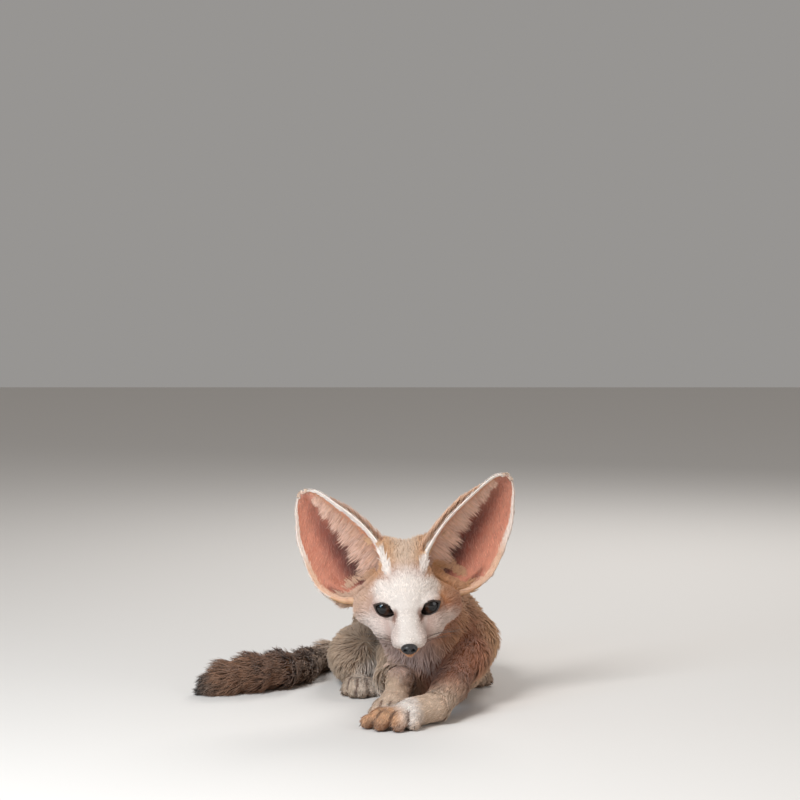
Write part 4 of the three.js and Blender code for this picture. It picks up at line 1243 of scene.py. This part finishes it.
# Legs and feet: close fur that lies down the leg, finest over the toes. Each piece: how far its
# roots lie apart, and its tufts' length, width and lift.
LEG_FUR = {
    "coat_upper_legs": (1.25, 8.5, 0.8, 0.46),
    "coat_lower_legs": (1.05, 7.0, 0.65, 0.42),
    "coat_feet": (0.8, 4.0, 0.45, 0.34),
}
legs = {**LIMBS, **{name: [root, pad, (*tips[1], 4, 5)] for name, (root, pad, tips) in PAWS.items()}}
found = {name: [] for name in LEG_FUR}
for column, (name, run) in enumerate(legs.items()):
    here = kinds == name
    if not here.any():
        continue
    upper = name.startswith("upper")
    piece = "coat_upper_legs" if upper else "coat_feet" if name in PAWS else "coat_lower_legs"
    spacing, long, wide, lift = LEG_FUR[piece]
    spots, outs, local = roots_on(here, spacing, 40 + column)
    _, _, way = line_share(spots, run)
    if upper:
        way = way * 0.7 + np.array([0, 0.2, -0.7])
    if name.startswith("shank"):
        way = way * 0.5 + np.array([0, 0.8, -0.2])
    length = long * (0.7 + 0.6 * local.random(len(spots)))
    lines, group = grown(
        spots, outs, way, length, local, lift, clump=0.35, clump_size=3.0, stations=3, wave=0.16
    )
    colour = tinted(spots, group, local, vary=0.15)
    places = unrolled(spots, run, column, len(legs))
    found[piece].append((lines, np.full(len(spots), wide), outs, colour, places))
for name, parts in found.items():
    hang(wisps(name, *[np.concatenate([f[n] for f in parts]) for n in range(5)]))

# Tail: a full brush, its hair standing well off the bone and sweeping to the dark tip.
spots, outs, local = roots_on(kinds == "tail", spacing=1.0, seed=60)
share, _, way = line_share(spots, TAIL)
length = 12 + 5 * local.random(len(spots)) + 4 * np.clip((share - 0.4) * 2, 0, 1)
length *= 1 - 0.45 * np.clip((share - 0.9) * 10, 0, 1)
lines, group = grown(
    spots, outs, way, length, local, lift=0.56, clump=0.2, clump_size=3.2, stations=4, wave=0.2
)
colour = tinted(spots, group, local, vary=0.16)
BRUSH_WIDTH = 0.72
width = np.full(len(spots), BRUSH_WIDTH)
hang(wisps("coat_tail", lines, width, outs, colour, unrolled(spots, TAIL)))


# Hair of the ears
# Close tan fur on the back, a dense white fringe on the rim, fine down in the cup, and long pale
# hair rooted near the inner edge that sweeps across it. All of it is rooted in the ear's skin.


def ear_wisps(ear, row, share, up, over, length, lift, stations, behind):
    """Tufts that follow the cup. up and over: how far the tip lies from the root, in rows and
    shares, for each; behind: how far the root lies behind the front of the cup."""
    lines = []
    for t in np.linspace(0, 1, stations):
        here, front, _, _ = ear_frame(ear, row + up * t, np.clip(share + over * t, 0, 1))
        facing = -front if np.any(behind) else front
        off = -0.3 + length * lift * (t - 0.4 * t * t)
        lines.append(here - front * np.asarray(behind)[..., None] + facing * off[:, None])
    return np.stack(lines, 1), facing


def ear_coat(name, ear):
    """All the hair of one ear, in three pieces by how finely its tufts bend."""
    local = np.random.default_rng(80 + ear["side"])
    parts = {3: [], 4: [], 5: []}

    def add(row, share, up, over, length, lift, width, colour, stations, behind=0.0, vary=0.1):
        lines, facing = ear_wisps(ear, row, share, up, over, length, lift, stations, behind)
        shade = 1 + vary * local.normal(size=len(row))
        tint = np.clip(colour * shade[:, None], 0, 1)
        half = 0.5 if np.any(behind) else 0.0
        places = np.stack([half + 0.02 + 0.46 * share, 0.02 + 0.96 * row / 8], 1)
        parts[stations].append((lines, np.full(len(row), width), facing, tint, places))

    n = 4400  # back
    row, share = 8 * local.random(n) ** 0.9, local.random(n)
    bulk = (4 * share * (1 - share)) ** 0.5 * np.clip((8 - row) / 1.5, 0, 1)
    thick = 1.2 + 0.9 * bulk + 6 * np.clip(1 - row / 3, 0, 1) ** 2
    length = 3.4 + 1.5 * local.random(n)
    tint = ear_colours(row, share, False)
    add(row, share, length / 11, 0.03 * local.normal(size=n), length, 0.28, 0.85, tint, 3, thick)
    n = 1100  # tan wool that stands out behind the inner edge
    row, share = 0.8 + 4.7 * local.random(n), 0.12 * local.random(n)
    thick = 1.2 + 6 * np.clip(1 - row / 3, 0, 1) ** 2
    length = (8 + 4 * local.random(n)) * np.clip((6.2 - row) / 2.4, 0.3, 1)
    tint = layered(EAR_CREAM, (TAN, 0.5 * local.random(n)))
    add(row, share, length / 14, 0.02 * local.normal(size=n), length, 0.75, 0.6, tint, 4, thick)
    n = 2900  # inner rim, white
    row, share = 7.95 * local.random(n), 0.045 * local.random(n) ** 1.5
    length = 3.0 + 1.8 * local.random(n)
    rise = length / 13 * np.clip(8.3 - row, 0, 1)
    add(row, share, rise, 0.02 * local.normal(size=n), length, 0.3, 0.42, WHITE, 3, vary=0.05)
    n = 1900  # outer rim
    row, share = 7.95 * local.random(n), 1 - 0.035 * local.random(n) ** 1.5
    length = 2.4 + 1.6 * local.random(n)
    rise = length / 13 * np.clip(8.3 - row, 0, 1)
    tint = layered(EAR_CREAM, (WHITE, 0.8 * np.clip(row - 3, 0, 1)))
    add(row, share, rise, 0.01 * local.normal(size=n), length, 0.3, 0.38, tint, 3)
    n = 4200  # fine down over the whole cup
    row, share = 8 * local.random(n), 0.04 + 0.93 * local.random(n)
    length = 2.8 + 3 * local.random(n)
    over = -0.05 + 0.04 * local.normal(size=n)
    add(row, share, length / 14, over, length, 0.2, 0.3, ear_colours(row, share) * 1.12, 3, vary=0.2)
    n = 2900  # long hair from the inner wall, swept into the valley
    row, share = 0.3 + 6.4 * local.random(n) ** 1.15, 0.06 + 0.24 * local.random(n)
    comb = 0.5 + 0.5 * np.sin(row * 7 + 3 * local.random(n))
    reach = (0.15 + 0.19 * comb * local.random(n) ** 0.4) * np.clip(1.15 - row / 11, 0.35, 1)
    tint = layered(
        EAR_PALE,
        (EAR_TAN, 0.35 * local.random(n) + 0.4 * np.clip((0.14 - share) * 12, 0, 1)),
        (EAR_RED, 0.55 * (1 - comb) * local.random(n)),
        # painted shade on the long hair low in the ear, over the canal
        (EAR_DARK, 0.75 * np.exp(-((row - 0.5) / 0.75) ** 2)),
    )
    sink = -0.02 - 0.5 * reach * local.random(n)
    add(row, share, sink, reach, 60 * reach, 0.14, 0.4, tint, 5, vary=0.12)
    n = 260  # white tuft where the inner rim meets the forehead
    row, share = 0.9 + 0.9 * local.random(n), 0.05 * local.random(n)
    length = 7 + 3 * local.random(n)
    add(row, share, -length / 9, 0.03 * local.normal(size=n), length, 0.35, 0.5, WHITE, 4, vary=0.05)
    for kind, some in zip(("short", "tufts", "long"), parts.values()):
        joined = [np.concatenate([part[n] for part in some]) for n in range(5)]
        hang(wisps(f"coat_ear_{name}_{kind}", *joined))


for name, ear in EARS.items():
    ear_coat(name, ear)


# Whiskers
# Stiff dark hairs on each side of the muzzle, each one tapering to nothing. They are rooted in
# three rows in the upper lip and droop a little under their own weight.

WHISKERS = 11
WHISKER_DROOP = 5
WHISKER_WIDTH = 0.42
WHISKER_DARK = (0.03, 0.02, 0.015)

lines = []
local = np.random.default_rng(99)
for side in (-1, 1):
    for n in range(WHISKERS):
        place, row = divmod(n, 3)
        root = np.array([side * (9.5 + row), -58 + 3.4 * place, -17.5 + 2.2 * row])
        way = np.array([side, 0.05 + 0.3 * local.random(), 0.55 - 0.5 * local.random()])
        way /= np.linalg.norm(way)
        reach = 22 + 12 * local.random()
        droop = np.array([0, 0, WHISKER_DROOP])
        lines.append(out_of_head([root + way * reach * t - droop * t * t for t in np.linspace(0, 1, 7)]))
width, outs, tint, places = [
    np.tile(value, (len(lines), 1)) for value in (WHISKER_WIDTH, (0.0, 0.0, 1.0), WHISKER_DARK, (0.5, 0.5))
]
hang(wisps("whiskers", lines, width[:, 0], outs, tint, places))


# Studio
# A plain pale floor, and four soft round lamps: a key, a bluish one that gives the eyes their
# gleam, a fill, and one from behind. A camera on a low stand looks the fox in the face.

FLOOR_HALF = 3000
floor_corners = [(x * FLOOR_HALF, y * FLOOR_HALF, 0) for x, y in ((-1, -1), (1, -1), (1, 1), (-1, 1))]
floor_mesh = mesh_of("floor", floor_corners, [(0, 1, 2, 3)])
floor_finish = Finish("pale floor")
floor_mesh.data.materials.append(floor_finish.surface(Base_Color=(0.7, 0.665, 0.63, 1), Roughness=0.9))


AIM = (-0.02, -0.1, 0.08)


def lamp(name, place, size, power, colour=(1, 1, 1)):
    """A round lamp that faces the fox."""
    data = bpy.data.lights.new(name, "AREA")
    data.shape = "DISK"
    data.size = size
    data.energy = power
    data.color = colour
    piece = bpy.data.objects.new(name, data)
    piece.location = place
    piece.rotation_euler = (Vector(AIM) - Vector(place)).to_track_quat("-Z", "Y").to_euler()
    bpy.context.scene.collection.objects.link(piece)


lamp("key", (-0.55, -1.0, 0.95), size=0.5, power=16)
lamp("sky", (-0.95, -1.15, 0.62), size=0.6, power=7, colour=(0.45, 0.75, 1))
lamp("fill", (0.9, -0.9, 0.5), size=0.9, power=3.5)
lamp("rim", (0.3, 0.9, 0.9), size=0.6, power=6)
world = bpy.data.worlds.new("studio")
world.use_nodes = True
air = world.node_tree.nodes["Background"]
air.inputs["Color"].default_value = (0.62, 0.6, 0.58, 1)
air.inputs["Strength"].default_value = 0.5
bpy.context.scene.world = world

CAMERA_PITCH = 4.7  # degrees down
camera = bpy.data.objects.new("camera", bpy.data.cameras.new("camera"))
camera.data.lens = 121.6
camera.data.sensor_width = 36
camera.location = (-0.021, -2.085, 0.394)
camera.rotation_euler = (math.radians(90 - CAMERA_PITCH), 0, 0)
bpy.context.scene.collection.objects.link(camera)
bpy.context.scene.camera = camera
bpy.context.scene.view_settings.view_transform = "Standard"
